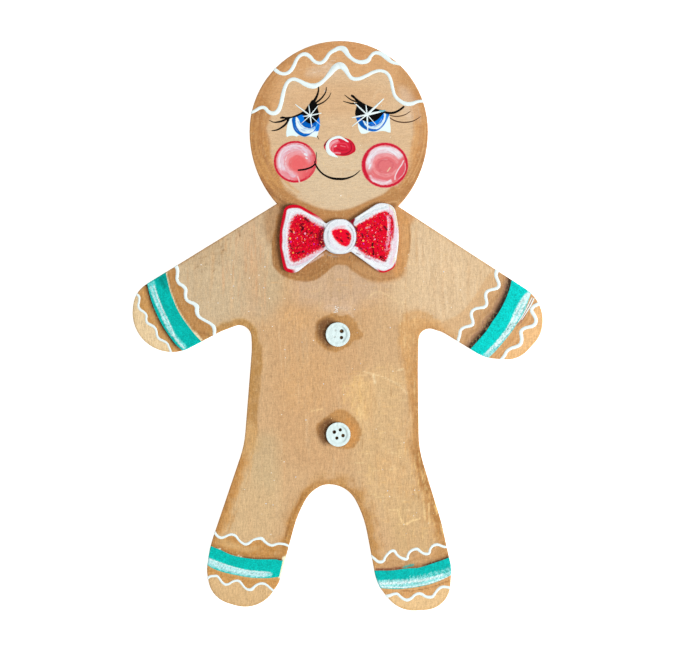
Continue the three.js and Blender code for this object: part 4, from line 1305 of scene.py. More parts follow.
rightCheekStrokes = [
    stroke(2.2, "f09a9c", arc(26, 85.4, 6.6, 5.4, 20, 330, 14), dry=0.6, seed=3),
    stroke(1.2, "d05c66", arc(26, 85.4, 4, 3.2, 200, -20, 10), 0.7, dry=0.5, seed=6),
    *arcStreaks(26, 85.4, (1, 8), (0, 360), ["f09698", "ce545e", "e87e82", "f4b0b2"], 90, (0.35, 0.8),
        (0.25, 0.6), squash=0.8, seed=83),
    stroke(5.2, rose["white"], [(17, 80.6), (17, 84.6), (17.4, 88.4), (19, 91.2), (22, 93.2), (25.6, 93.8),
        (29.4, 93.4), (32.6, 91.6), (35, 89)], soft=0.75, dry=0.3, fade=(7, 2), seed=8),
    stroke(2, rose["pink"], [(17.8, 86.6), (20.4, 89.6), (25, 91.2), (29.4, 90.4)], 0.6, dry=0.7),
    stroke(3, "f0e6ec", [(17, 80.4), (18.6, 77.8), (21.6, 76.4), (25, 75.9), (28, 76.4)], soft=0.75,
        dry=0.35, fade=(1, 2)),
    *arcStreaks(25.6, 85.6, (7, 10.4), (35, 170), ["fafafc", "eeced6", "e8eef6", "e096a2"], 110, (0.3, 0.7),
        (0.4, 0.85), seed=84),
    *arcStreaks(25.6, 85.6, (8, 10.4), (205, 290), ["f6f4f8", "e8aab4"], 50, (0.3, 0.7), (0.35, 0.8),
        seed=85),
    patch("de485c", [(35.9, 88.4), (34.4, 85.6), (32.6, 82.8), (31.6, 80), (33.4, 77.4), (36.6, 80.4),
        (37.6, 85)], 0.75, 2, ragged=0.5),
    stroke(1.5, rose["ring"], arc(25.6, 85.6, 11.7, 11.3, 0, 360, 25)[:-1], closed=True, ragged=0.2,
        soft=0.4),
    stroke(2, rose["ring"], arc(25.6, 85.6, 11.1, 10.7, 130, 235, 8), soft=0.5, fade=(4, 4)),
    stroke(0.8, "f4e6ea", [(35.6, 88), (34.6, 85.9), (32.8, 83.3), (31.2, 80), (31, 78)], dry=0.2),
    stroke(0.6, "f0d6dc", [(36.4, 86.6), (36.6, 83.6), (35.4, 80.6), (33, 78.2)], 0.7, dry=0.4),
    stroke(0.9, "f0c4a8", [(27, 82.3), (28.4, 84.2)]),
    stroke(1, rose["white"], [(17.1, 83.7), (17.9, 85.8)]),
]
rightCheek = {
    "outline": arc(25.6, 85.6, 12.5, 12.1, 0, 360, 17)[:-1], "colour": "e5767a",
    "strokes": rightCheekStrokes,
}
noseStrokes = [
    stroke(1.1, "78182c", [(-6.6, 96), (-5, 98.4), (-2.4, 100.2), (1, 100.8)]),
    stroke(1.3, "c4102c", [(3, 99.6), (6, 99), (8.4, 97.4), (9.4, 95.2), (9, 93.2), (7, 91.6), (4, 91)],
        0.8),
    stroke(0.8, "960c24", [(7.4, 97.2), (7.7, 94.6), (7, 93), (4.6, 91.7), (1.8, 91.4)], 0.9),
    stroke(2.2, "f4b0b8", [(-4.4, 93), (-4, 95.4), (-2.6, 97.4), (0, 98.6)], dry=0.3),
    stroke(1.6, "ec6e7e", [(-2.4, 92.4), (-2.4, 94.6), (-1.4, 96.6), (1, 98)], dry=0.5),
    stroke(1.2, "f096a4", [(-3, 91.8), (-0.4, 92.2), (1.6, 92)], dry=0.4),
    stroke(1, "ec465c", [(1, 97.4), (4.6, 97), (6, 95)], dry=0.5),
    stroke(1, "b00e28", [(0, 94.4), (2.6, 93.4), (5.4, 93.8)], 0.7, dry=0.4),
    stroke(0.6, "f47888", [(2, 96), (4.4, 95.4)], dry=0.4),
    stroke(0.9, "f6c4c8", [(-1.2, 95.5), (-0.4, 95.9)]),
]
nose = {
    "outline": [(-7, 96), (-5.8, 98.2), (-3.6, 99.9), (-1, 100.8), (1.2, 101), (4, 100.2), (7, 99.2),
        (9, 97.2), (9.9, 95), (9.7, 93), (8.4, 92), (6.4, 91), (3.8, 90.5), (1, 90.7), (-2, 91.4),
        (-4.6, 92.6), (-6.4, 94)],
    "colour": "da203a", "strokes": noseStrokes,
}
rosePaint = paintMaterial("rosePaint", softPaint)
for name, face, lift in (("leftCheek", leftCheek, 0.07), ("rightCheek", rightCheek, 0.07),
                         ("nose", nose, 0.09)):
    film = paintFilm(name, face["outline"], lift, cell=0.22)
    finishFilm(film, face["colour"], face["strokes"], rosePaint)

noseShine = [(5.9, 98.1, 0.6), (3.4, 99.7, 1.1), (1, 100.6, 1.5), (-1.4, 100.1, 1.4), (-3.5, 99, 1.4),
    (-4.8, 97.3, 1.6), (-5.2, 95.4, 1.9), (-4.8, 93.6, 2.1), (-3.7, 92.1, 2.3), (-2, 91.1, 1.9),
    (-0.8, 90.4, 1.1), (0.3, 89.9, 0.5)]
settle(paintLine("noseShine", noseShine, flat=0.14, lift=0.08), icingPaint)
print("cheeks and nose painted")


# eyes: white, iris and black lid as films, then lashes and the star of light as lines

eyePaint = {
    "grains": [marks((0.9, 0.9), 0.08, 0.6)],
    "bump": 0.3, "roughness": 0.45, "polish": 0.1, "shine": 0.04,
}
blue = {"deep": "0058b0", "royal": "0062c4", "bright": "007ae8", "sky": "54b0f0", "pale": "ebfcff"}
leftEyeStrokes = [
    patch(blue["deep"], [(-23.9, 110.8), (-23.8, 107.4), (-23, 104.6), (-21.2, 102.5), (-18.8, 101.1),
        (-17, 100.8), (-15.1, 101.5), (-13.2, 102.9), (-11.8, 103.8), (-8.6, 105), (-8.6, 111), (-12, 114),
        (-20, 113.6)], soft=0.3),
    stroke(0.8, blue["bright"], [(-22.9, 110.6), (-22.8, 107), (-21.6, 104.2), (-19.4, 102.5), (-17, 101.9),
        (-15, 102.4)], 0.6),
    patch(blue["pale"], [(-22, 111.2), (-21.9, 107.4), (-20.6, 104.6), (-18.4, 102.9), (-15.7, 102.5),
        (-13.2, 103.3), (-11.6, 104.8), (-11.8, 106.2), (-12.8, 105.7), (-14.2, 105.2), (-17, 105.8),
        (-19.5, 107.9), (-20.8, 110.6)], soft=0.4, ragged=0.1, grain=1),
    stroke(0.8, blue["sky"], [(-20.9, 109), (-19.2, 106.5), (-16.6, 105), (-14, 104.8), (-12.4, 105.6)], 0.7,
        dry=0.5),
    patch(blue["bright"], [(-20.8, 111.6), (-19, 112.8), (-17.5, 111.6), (-17.7, 109.2), (-19, 108.3),
        (-20.3, 109.8)], soft=0.5),
    stroke(1.8, blue["royal"], [(-18.3, 108.2), (-16.5, 107), (-14.3, 106.6), (-12, 107.1), (-10.5, 108)],
        soft=0.4),
    patch(blue["bright"], [(-11.3, 105.9), (-12.4, 103.8), (-9, 104.6), (-8.8, 111), (-10.6, 110.8),
        (-11, 108)], soft=0.4),
    stroke(0.6, blue["sky"], [(-12.8, 104.9), (-11.3, 106.2), (-10.3, 108.4)], 0.8),
    *arcStreaks(-16.4, 109.6, (4.2, 7.4), (190, 330), [blue["bright"], "3c98de", blue["deep"], "f0fafe"], 34,
        (0.25, 0.5), (0.25, 0.6), seed=86),
]
leftEye = {
    "white": [(-24.7, 110.9), (-26.1, 108.4), (-26.9, 105), (-27.1, 101.6), (-26.8, 100.6, "corner"),
        (-25.4, 101.2), (-23, 101.3), (-21.6, 100.9), (-20.4, 101.5), (-18.8, 100.9), (-17.2, 100.7),
        (-15.6, 101), (-14.2, 101), (-12, 100.6), (-11, 100.3, "corner"), (-10.4, 101.8), (-9.8, 104),
        (-9.3, 106), (-9.3, 110), (-10.2, 112.5), (-12, 114.5), (-16, 114.6), (-19, 113.4), (-21.6, 112.2)],
    "strokes": leftEyeStrokes,
    "lid": [(-29.6, 110.5), (-29.9, 111.2), (-27, 111.3), (-24.5, 111.5), (-21.5, 112.6), (-18.6, 114.1),
        (-17, 115.3), (-15.7, 117.1), (-14.8, 118.2), (-12.9, 120.5), (-11.5, 119.7), (-10.7, 118.4),
        (-10.4, 116.3), (-9.8, 114), (-9.7, 111.4), (-10.3, 110.2), (-11.2, 109.2), (-12.4, 108.2),
        (-14, 107.8), (-15.6, 108.2), (-16.9, 109.2), (-17.6, 110.5), (-17.7, 111.8), (-18.6, 112.5),
        (-21, 111.8), (-23.6, 111), (-25.2, 110.4), (-26.4, 109.2), (-27, 109.8), (-28.2, 110.5)],
    "lashes": [
        [(-12.9, 119, 1.7), (-11.2, 121.6, 1.3), (-10.1, 124.6, 0.9), (-9.9, 127.2, 0.6),
            (-10.5, 129.2, 0.35)],
        [(-12.2, 118.4, 1), (-9.6, 120.2, 0.9), (-7.3, 122.6, 0.75), (-5.9, 125.2, 0.6),
            (-5.7, 127.2, 0.35)],
        [(-11.8, 117.6, 0.9), (-9.2, 118.3, 0.75), (-6.4, 119.9, 0.6), (-4.2, 122.2, 0.45),
            (-3.3, 124.1, 0.25)],
        [(-30.2, 110.9, 0.9), (-28, 110.9, 0.8), (-25, 111.1, 0.8)],
        [(-26.4, 110.6, 1), (-28.6, 109.5, 1.1), (-31.4, 108.7, 0.9), (-34, 108.6, 0.6),
            (-36.2, 109.6, 0.3)],
        [(-25.9, 109.9, 1.1), (-27.4, 107.6, 1.1), (-29.6, 105.8, 1), (-32, 104.5, 0.8), (-34.8, 104, 0.4)],
        [(-10.5, 101, 0.35), (-9.7, 99.6, 0.3)],
    ],
    "star": {"x": -14.4, "y": 112.1, "wide": 1.8, "rays": [(-22.2, 118, 0.7, 0.38),
        (-15.1, 117.8, 0.49, 0.26), (-10.3, 117.2, 0.53, 0.26), (-8.5, 113.4, 0.61, 0.42),
        (-8.8, 107.1, 0.33, 0.17), (-13.5, 106, 0.61, 0.3), (-19, 107.9, 0.41, 0.21),
        (-17.9, 111.7, 0.57, 0.34)]},
}
rightEyeStrokes = [
    patch(blue["deep"], [(9.9, 111.5), (11.2, 108.5), (13, 106.1), (15.6, 104.5), (17, 104), (19, 103.6),
        (21, 103.8), (23, 104.9), (24.8, 106.6), (26.1, 108.7), (27.2, 110.8), (28, 113.4), (24.5, 115),
        (14, 115), (9.8, 114)], soft=0.3),
    patch(blue["pale"], [(13.6, 110.4), (14.5, 107.8), (15.9, 106.2), (17.2, 105.5), (19, 105),
        (21.3, 104.9), (23.2, 105.7), (24.8, 107.4), (25.7, 109.6), (26.1, 111.8), (26, 114.4), (25.1, 114),
        (25.1, 111.6), (24.4, 109.5), (22.7, 107.7), (20.5, 106.6), (18, 106.4), (16.2, 107.2),
        (14.8, 108.8), (14.4, 110.6)], soft=0.4, ragged=0.1, grain=1),
    stroke(0.7, blue["bright"], [(16.8, 104.7), (19.4, 104.2), (22, 104.7), (24.3, 106.6)], 0.6),
    stroke(1.1, blue["bright"], [(24.6, 107), (26, 109), (27, 111.4), (27.4, 113.2)], 0.8),
    stroke(0.5, blue["sky"], [(26.2, 109.4), (26.7, 111.2), (26.6, 113)]),
    patch(blue["bright"], [(16.4, 108.2), (18, 107.2), (19.6, 106.5), (21, 107.3), (23.6, 108.8),
        (24.9, 111), (25, 113.6), (23.6, 113.8), (22.6, 111.2), (20, 109.2), (17.2, 109.4)], soft=0.5),
    stroke(1.2, blue["royal"], [(17, 108.3), (18.8, 107.3), (20.2, 107.4)]),
    stroke(0.9, blue["sky"], [(14.8, 109.4), (15.8, 108.2), (17, 107.9)]),
    stroke(0.7, blue["sky"], [(17.6, 106.4), (20, 105.9), (22.4, 106.9), (24, 108.6)], 0.7, dry=0.5),
    *arcStreaks(19, 112, (4.4, 7.8), (200, 345), [blue["bright"], "3c98de", blue["deep"], "f0fafe"], 34,
        (0.25, 0.5), (0.25, 0.6), seed=87),
]
rightEye = {
    "white": [(10.3, 112), (10.2, 110.6), (11, 108.6), (11.3, 106), (12, 103.9), (12.9, 102.5, "corner"),
        (14.5, 102.4), (16, 102.7), (17.2, 103.3), (19, 103.5), (21, 103.4), (23, 103.8), (26, 103.7),
        (27.6, 103.1), (28.7, 103.1, "corner"), (28.7, 105), (28.4, 108), (28.1, 111.6), (27.7, 113.3),
        (25.6, 113.9), (24, 114.6), (20, 114.6), (16, 114.6), (12, 114.2)],
    "strokes": rightEyeStrokes,
    "lid": [(7.5, 122.5), (7.8, 123.3), (8.6, 123.1), (10.4, 121.5), (12.4, 119.9), (15.6, 118), (19, 116.6),
        (22.4, 115.4), (24.4, 115), (25.6, 114.2), (24.8, 113.2), (24, 112.2), (22.4, 110.5), (20.6, 109.2),
        (19, 108.8), (17, 108.6), (15.2, 109), (13.2, 110), (12.2, 111.3), (11, 111.9), (10, 112.1),
        (9.8, 114), (10.3, 116.2), (10.8, 118), (10.9, 119), (10, 120.2), (8.4, 121.7)],
    "lashes": [
        [(24.6, 114.2, 1.2), (27, 113.6, 1.3), (30, 113.6, 1.2), (33, 114.8, 1.1), (35.8, 116.9, 1)],
        [(4.2, 123.1, 0.3), (6.4, 121.3, 0.6), (8.6, 120.1, 0.75), (11.2, 119.5, 0.9)],
        [(3.4, 119.8, 0.3), (6, 119, 0.6), (8.6, 118.5, 0.85), (11.4, 118.6, 0.9)],
    ],
    "star": {"x": 16.1, "y": 112.6, "wide": 2, "rays": [(24.9, 121, 1.07, 0.47), (15.5, 117.7, 0.66, 0.34),
        (9.3, 119, 0.74, 0.38), (8.2, 111, 0.82, 0.42), (8.2, 106.5, 0.66, 0.34), (16.4, 104.4, 0.74, 0.47),
        (20.8, 107.3, 0.45, 0.26), (24, 114.4, 1.15, 0.64)]},
}
fineLashes = [
    [(28.2, 112.3, 0.4), (31, 111.7, 0.6), (34, 111.9, 0.6), (36.8, 112.8, 0.5), (39.2, 114.4, 0.3)],
    [(28.2, 111, 0.5), (30.2, 109.7, 0.65), (33, 108.8, 0.7), (37, 108.5, 0.7), (40.6, 109.2, 0.6),
        (43, 110.4, 0.45), (44.6, 111.6, 0.25)],
]
mouth = {
    "smile": [(-12, 87.4, 0.6), (-11, 85, 0.9), (-9.5, 82.8, 0.9), (-7.8, 81.1, 0.9), (-5.2, 79.5, 1),
        (-3, 78.7, 1.15), (-1, 78.3, 1.25), (1, 78.2, 1.3), (3, 78.2, 1.25), (5, 78.5, 1.05),
        (7, 79.1, 0.85), (9, 80, 0.65), (10.8, 81.3, 0.5), (12.3, 82.7, 0.3)],
    "crease": [(-11.6, 86.5, 0.7), (-13, 85, 0.95), (-15, 84, 1), (-17.4, 83.3, 1.05), (-20.8, 82.9, 0.9)],
    "tick": [(-11, 92.4, 0.25), (-11.2, 89.2, 0.45), (-12, 86.2, 0.5)],
}
ink = {
    "grains": [marks((1, 1), 0.2, 0.5)],
    "bump": 0.2, "roughness": 0.5, "polish": 0.1, "shine": 0.03,
}
irisPaint = paintMaterial("irisPaint", eyePaint)
blackPaint = paintMaterial("blackPaint", ink, "0a0909")
brownPaint = paintMaterial("brownLash", ink, "604432")
for side, eye in (("left", leftEye), ("right", rightEye)):
    film = paintFilm(side + "Eye", eye["white"], lift=0.07, cell=0.14)
    finishFilm(film, "ecfefe", eye["strokes"], irisPaint)
    lid = paintFilm(side + "Lid", eye["lid"], lift=0.12, cell=0.8)
    smooth(lid)
    lashes = [paintLine("lash", route, flat=0.3, lift=0.06) for route in eye["lashes"]]
    settle(joined(side + "Lashes", [lid] + lashes), blackPaint)
    star = eye["star"]
    midX, midY = star["x"], star["y"]
    rays = [paintLine("ray", [(midX, midY, start), ((midX + x) / 2, (midY + y) / 2, start), (x, y, end)],
                      flat=0.2, lift=0.13) for x, y, start, end in star["rays"]]
    half = star["wide"] * 0.12
    rays.append(paintLine("glint", [(midX - half, midY, star["wide"] * 0.6),
                                    (midX + half, midY, star["wide"] * 0.6)], flat=0.2, lift=0.13))
    settle(joined(side + "Star", rays), icingPaint)
settle(joined("fineLashes", [paintLine("lash", route, flat=0.2) for route in fineLashes]), brownPaint)
settle(joined("mouth", [paintLine("mouthLine", route, flat=0.25, lift=0.06) for route in mouth.values()]),
       blackPaint)
smear = [(22.8, 114.5, 0.9), (24.3, 114.5, 1.1), (25.8, 114.9, 0.5)]
settle(paintLine("lidSmear", smear, flat=0.2, lift=0.17), paintMaterial("smearPaint", ink, "78bece"))
print("eyes and mouth painted")


# the bow tie: thin board painted red, a brushed white border and glitter

bow = {
    "arris": 0.4, "cell": 0.28, "colour": "d60628", "whiteDepth": 0.5, "back": "be2832",
    "backHeight": 0.6,
    "look": {
        "grains": [marks((0.6, 0.6), 0.42, 1.0), marks((2, 0.9), 0.2, 0.6)],
        "bump": 0.6, "roughness": 0.45, "polish": 0.2, "shine": 0.06,
    },
}
bowWhite = "ecf0f5"
bowRed = "f0002a"
maroon = "680416"
leftFill = [(-19.8, 58.9), (-22.6, 58), (-24.6, 54.8), (-25.5, 50.4), (-26, 45.7), (-25.7, 41.7),
    (-25, 36.1), (-23.4, 33.8), (-21, 34.3), (-16.6, 36.5), (-12.3, 38.9), (-7, 41.9), (-6, 47), (-7, 51.2),
    (-9.7, 53), (-13.6, 55.2), (-16.6, 57.4)]
rightFill = [(9.9, 52.4), (13.8, 55), (18.2, 57.4), (22.5, 59.8), (26, 60.7), (28.2, 59.1), (29.7, 55.7),
    (29.9, 51.7), (29, 46.5), (28.2, 40.4), (26.9, 36.3), (25.1, 33.9), (22.8, 35), (19.3, 36), (15.6, 37.6),
    (11.8, 40.4), (9.6, 42.6), (9.4, 48)]
knotFill = [(-2.7, 49.6), (-1.4, 50.9), (2.1, 51.5), (5.1, 50.9), (7.1, 49.1), (7.6, 47), (7.1, 44.3),
    (5.8, 42.4), (4.2, 42), (1.6, 43.1), (-0.4, 44.9), (-1.9, 47)]
bowStrokes = [
    # the brush marks along the white borders
    stroke(1.8, "d0d0dc", [(-6.4, 52.8), (-12.4, 56.8), (-18.6, 60.6), (-23.4, 61), (-26, 57.6), (-27.4, 50),
        (-27.6, 42), (-26.8, 34.6), (-24.6, 31.2), (-20, 31.6), (-14, 35), (-7.4, 40)], 0.8, dry=0.9,
        ragged=0.5),
    stroke(1.1, "f8fafe", [(-24.6, 59.6), (-26.6, 53), (-27, 45), (-26.4, 37), (-24.2, 32.8)], dry=0.5,
        rise=0.08),
    stroke(1.8, "f4fcfd", [(-7, 54.6), (-13, 57.8), (-19, 60.6), (-24, 60.6)], dry=0.4, rise=0.08),
    stroke(1.2, "c4ccd2", [(-8.6, 52.6), (-14, 55.8), (-18, 58)], 0.8, dry=0.7),
    stroke(1.8, "ecc8d4", [(-21, 32.4), (-14.6, 35.8), (-8, 40.2)], dry=0.6),
    stroke(1.2, "e0c0ce", [(-26.6, 34), (-24, 32), (-18, 33.4), (-12, 37)], dry=0.6),
    stroke(1.2, "f8f6f8", [(-22, 29.8), (-16, 32.2), (-10, 36.2), (-6, 40)], dry=0.3, rise=0.06),
    stroke(1.8, "c4d4da", [(9.6, 55), (15, 58.8), (21, 62), (26, 63)], dry=0.8),
    stroke(0.9, "b2c4ca", [(9, 54), (14, 56.6), (19, 59.6)], 0.7, dry=0.6),
    stroke(1.4, "f8fefe", [(11, 57.4), (18, 61.4), (25, 63.8)], dry=0.3, rise=0.08),
    stroke(2.6, "f0cede", [(28.6, 61), (30.6, 55), (31, 47), (30.6, 39.6), (28.6, 33)], dry=0.6),
    stroke(1.2, "f8fafc", [(31.6, 58), (32.4, 50), (32.2, 42), (30.6, 35)], dry=0.3, rise=0.08),
    stroke(1.6, "f8fcfd", [(9.6, 39.8), (15, 35.4), (21, 31.6), (25.6, 30.8)], dry=0.4, rise=0.08),
    stroke(1.6, "d6b8c4", [(11, 40.4), (16, 36.8), (22, 33.8)], dry=0.7),
    *streaks([(-25, 61), (-7, 54), (-8, 50), (-26, 56)], ["f8fcfe", "ced2dc"], 44, (2, 6), (0.4, 0.8),
        (0.3, 0.7), turn=-30, spread=8, seed=91),
    *streaks([(-29, 58), (-25, 58), (-25, 34), (-28, 34)], ["fafafe", "d6ccdc"], 50, (2, 7), (0.4, 0.8),
        (0.3, 0.7), turn=88, spread=8, seed=92),
    *streaks([(-25, 30), (-24, 35), (-7, 43), (-6, 39)], ["f8f6fa", "e8bcca"], 44, (2, 6), (0.4, 0.8),
        (0.3, 0.7), turn=28, spread=8, seed=93),
    *streaks([(8, 54), (24, 64.4), (28, 61), (10, 50)], ["fafefe", "ccd8de"], 44, (2, 6), (0.4, 0.8),
        (0.3, 0.7), turn=31, spread=8, seed=94),
    *streaks([(28, 62), (32.4, 56), (32.4, 40), (28, 34)], ["fafafc", "eebace"], 60, (2, 8), (0.4, 0.8),
        (0.3, 0.8), turn=86, spread=8, seed=95),
    *streaks([(8, 40), (12, 43), (28, 34), (25, 29)], ["fafafc", "e2beca"], 44, (2, 6), (0.4, 0.8),
        (0.3, 0.7), turn=-32, spread=8, seed=96),
    # red glitter paint inside, thin and pink where it meets the white
    patch("ea5c72", leftFill, 0.75, 4, ragged=1, grain=1.2, rise=-0.1),
    patch(bowRed, leftFill, soft=2, ragged=0.6, grain=1.2),
    patch("ea5c72", rightFill, 0.7, 2.6, ragged=0.8, grain=1.4, rise=-0.1),
    patch(bowRed, rightFill, soft=0.9, ragged=0.4, grain=1.6),
    patch("ba001c", leftFill, 0.7, 2, mottle=1, grain=2.4),
    patch("c4001c", rightFill, 0.5, 2, mottle=1, grain=3),
    patch(maroon, [(-6.6, 53), (-9.6, 50), (-10.6, 46), (-9.6, 43), (-6.6, 41.4), (-3, 47)], 0.85, 2,
        ragged=0.4, grain=2),
    patch(maroon, [(9, 50.6), (10.6, 48), (10.6, 44), (8.6, 42), (6, 47)], 0.8, 1.2),
    stroke(2.2, "f0aabe", [(27.2, 59), (27.8, 55.4), (27.9, 51.7), (27.5, 47.6), (26.9, 43.9), (26, 38)],
        dry=0.5, ragged=0.4, fade=(1, 4)),
    stroke(1, "fad8e2", [(26.9, 58), (27.3, 54), (27.2, 50), (26.8, 46)], dry=0.3, fade=(1, 3)),
    stroke(1.3, "d40628", [(28.8, 59), (29.9, 54), (29.9, 49), (29.4, 44)], dry=0.3, fade=(1, 3)),
    # dark gaps in the glitter
    stroke(2, "4c0412", [(-19, 53.4), (-18.4, 51.2)], ragged=0.5),
    stroke(1.7, maroon, [(-17.6, 56.9), (-15, 55.6)], ragged=0.5),
    stroke(1.2, "460412", [(-22, 38.4), (-19.6, 38.7), (-17.2, 39.6)], ragged=0.4),
    stroke(1.3, maroon, [(-25, 50.6), (-23.9, 49.6)]),
    stroke(1.6, "600a28", [(-24.8, 42.4), (-24, 41)]),
    stroke(1.3, maroon, [(-14.4, 48.6), (-13.2, 49.6)]),
    stroke(1.3, "3c040e", [(18.9, 43.6), (19.2, 40.6), (19.6, 37.4)], ragged=0.4),
    stroke(2, "3c040e", [(23.6, 36.4), (24.6, 35.2)], ragged=0.4),
    stroke(1.5, maroon, [(25.2, 52.6), (26.6, 50.9)]),
    stroke(1.2, maroon, [(22.8, 51), (23.4, 50.4)]),
    stroke(1.3, maroon, [(13.4, 48.6), (13.9, 47)]),
    stroke(1.2, maroon, [(16.4, 47.6), (16.9, 46.6)]),
    stroke(1.3, "e2a0b0", [(15.6, 51.8), (17.2, 52.2)], dry=0.4),
    stroke(0.9, "462830", [(12, 41.6), (13, 40.8)]),
    stroke(0.9, "3c1e26", [(15.4, 39.4), (16.2, 38.6)]),
    stroke(1.2, "781428", [(23.6, 34.9), (26, 34.2)], dry=0.3, ragged=0.3),
    stroke(0.8, "96828c", [(10.4, 38.4), (12.4, 37.6)], dry=0.3),
    stroke(1, "ce8296", [(15, 36.4), (17.6, 35.2)], dry=0.5),
    # the red edge that the white leaves bare
    floated(1.75, bow["colour"], [(-4, 55), (-8, 59), (-14, 66), (-28, 70), (-36, 50), (-34, 26), (-23, 25),
        (-24, 31), (-28, 40), (-26, 58), (-14, 58)], soft=0.4, ragged=0.12, mottle=0, rise=-0.1),
    floated(1.7, bow["colour"], [(-33, 36), (-27, 34), (-23.4, 30), (-24, 25), (-34, 28)], soft=0.4,
        ragged=0.1, mottle=0, rise=-0.1),
    floated(1, bow["colour"], [(22, 27), (22.6, 31), (29, 33), (33, 33), (30, 27)], soft=0.4, ragged=0.2,
        mottle=0),
    # cream paint picked up along the right end
    stroke(0.8, "f2e4b2", [(27.6, 64), (30, 61.6), (31.4, 57), (32.2, 52)], 0.85, dry=0.2),
    stroke(0.8, "f2e2b0", [(30, 33.4), (31, 36)], 0.8, dry=0.2),
    # the knot, and the dark red gap to its right
    patch("e2e8ee", [(-6, 50), (-7, 56), (-2, 60), (4, 60), (4, 36), (-4, 35), (-6, 40)], soft=0.4),
    patch("880822", [(6, 57), (5, 53), (8, 49), (10.5, 48.6), (11, 52), (9.4, 53), (8.9, 54.3), (9.6, 57)],
        soft=0.5),
    patch("787882", arc(1.55, 47.25, 9, 9.7, 0, 360, 17)[:-1], 0.6, 0.8),
    patch("ecf2f7", arc(1.55, 47.25, 8.65, 9.35, 0, 360, 17)[:-1], soft=0.35, rise=0.22),
    stroke(1.4, "c4d0da", arc(1.5, 47.25, 6.9, 7.6, 100, 250, 16), 0.5, dry=0.9, ragged=0.5),
    stroke(1.2, "a0aab2", [(-4.6, 50), (-4.9, 47), (-4, 43.4)], 0.7, dry=0.5),
    stroke(1.6, "e6deec", arc(2, 46.6, 5.6, 6.2, 190, 320, 12), dry=0.5),
    stroke(0.7, "82929c", arc(2, 47, 6.9, 7.6, -60, 56, 10), 0.8, dry=0.7, ragged=0.4),
    stroke(1.8, "eeaab8", [(-2.6, 50.2), (-0.4, 52), (4, 52.6)], 0.7, dry=0.4),
    *arcStreaks(1.55, 47.25, (5.8, 8.2), (60, 340), ["fcfeff", "ced6e0", "eedee8"], 90, (0.35, 0.7),
        (0.4, 0.9), span=(6, 22), squash=1.08, seed=97),
    *arcStreaks(1.55, 47.25, (5.4, 8.4), (0, 360), ["788692", "e8becc"], 34, (0.3, 0.5), (0.3, 0.7),
        span=(4, 12), squash=1.08, seed=98),
    patch("ec96a2", knotFill, 0.7, 2.4),
    patch(bowRed, knotFill, soft=0.6, ragged=0.2, rise=-0.16, grain=1),
    stroke(1, maroon, [(5, 49), (6.2, 48)]),
    stroke(1.1, maroon, [(5.6, 46.8), (6.6, 46.2)]),
    stroke(1.3, maroon, [(2, 45.4), (2.8, 44.6)]),
    stroke(1, maroon, [(-0.4, 46.8), (0.4, 46.4)]),
]
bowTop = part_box("bow_tie")[1].z / mm
bowBlank, bowRim = sawnBlank("bow_tie", "bowTie", bow["arris"])
gridTop(bowBlank, bow["cell"], bowTop - 0.02)
coat = startCoat(bowBlank, bow["colour"])
coat["gap"], _, _ = measure(coat["xy"], *bowRim)
lay(coat, coat["z"] > bowTop - bow["whiteDepth"], 1, bowWhite)
paint(coat, bowStrokes)
lay(coat, coat["z"] < boardTop + bow["backHeight"], 1, bow["back"])
keepCoat(coat)
raiseRelief(coat, bowTop - 0.1)
smooth(bowBlank)
settle(bowBlank, paintMaterial("bowPaint", bow["look"]), "bow_tie")

glitter = {
    "count": 1000, "seed": 11, "reach": [(-27, 31), (33, 62)], "sizes": (0.14, 0.33), "tilt": 20,
    "thick": 0.06,
    "colours": [("fc002c", 34), ("b0001a", 18), ("540210", 20), ("ff963c", 12), ("ff603c", 8), ("ffa0be", 4),
        ("d61896", 4)],
    # single larger sparkles: x, y, radius, colour
    "sparkles": [(-25, 46.2, 0.62, "ffe282"), (-24.6, 44.4, 0.6, "e028aa"), (-23, 49.6, 0.5, "ffb482"),
        (-26.4, 49.6, 0.5, "fae6f0"), (-21.2, 46, 0.45, "dc28a0"), (-17, 48.8, 0.62, "ff96b4"),
        (-12.3, 43.2, 0.55, "e21ea0"), (-12, 53.2, 0.4, "dc32a0"), (-15.6, 38, 0.5, "dc3c96"),
        (-23.4, 38.6, 0.45, "ffc85a"), (0, 51.4, 0.55, "f08cbe"), (2, 50, 0.45, "ffbe5a"),
        (14, 45, 0.6, "ffc46e"), (14.2, 43.4, 0.5, "e028aa"), (20.2, 45.8, 0.45, "ff96be"),
        (10.7, 40.9, 0.7, "ecf0f6"), (17.2, 36.6, 0.5, "f0dce6"), (4.6, 41.6, 0.4, "d2d2dc")],
}
dice = np.random.default_rng(glitter["seed"])
shares = np.array([share for _, share in glitter["colours"]], float)
fills = [closedLine(fill) for fill in (leftFill, rightFill, knotFill)]
spots = []
while len(spots) < glitter["count"]:
    spot = np.array([[dice.uniform(*reach) for reach in glitter["reach"]]])
    colour = glitter["colours"][dice.choice(len(shares), p=shares / shares.sum())][0]
    size = dice.uniform(*glitter["sizes"])
    if any(insideOf(spot, fill)[0] for fill in fills):
        spots.append((*spot[0], bowTop - 0.04 + size * 0.2, size, colour))
for x, y, size, colour in glitter["sparkles"]:
    spots.append((x, y, bowTop + size * 0.25, size, colour))
glitterFoil = paintMaterial("glitterFoil", {
    "grains": [marks((2, 2), 0.3)],
    "bump": 0.0, "roughness": 0.3, "polish": 0.1, "shine": 0.12})
settle(flakes("bowGlitter", spots, glitter["thick"], glitter["tilt"], dice), glitterFoil)
print("bow tie painted")


# sewing buttons, brushed over with white paint that rounds them off and fills some holes

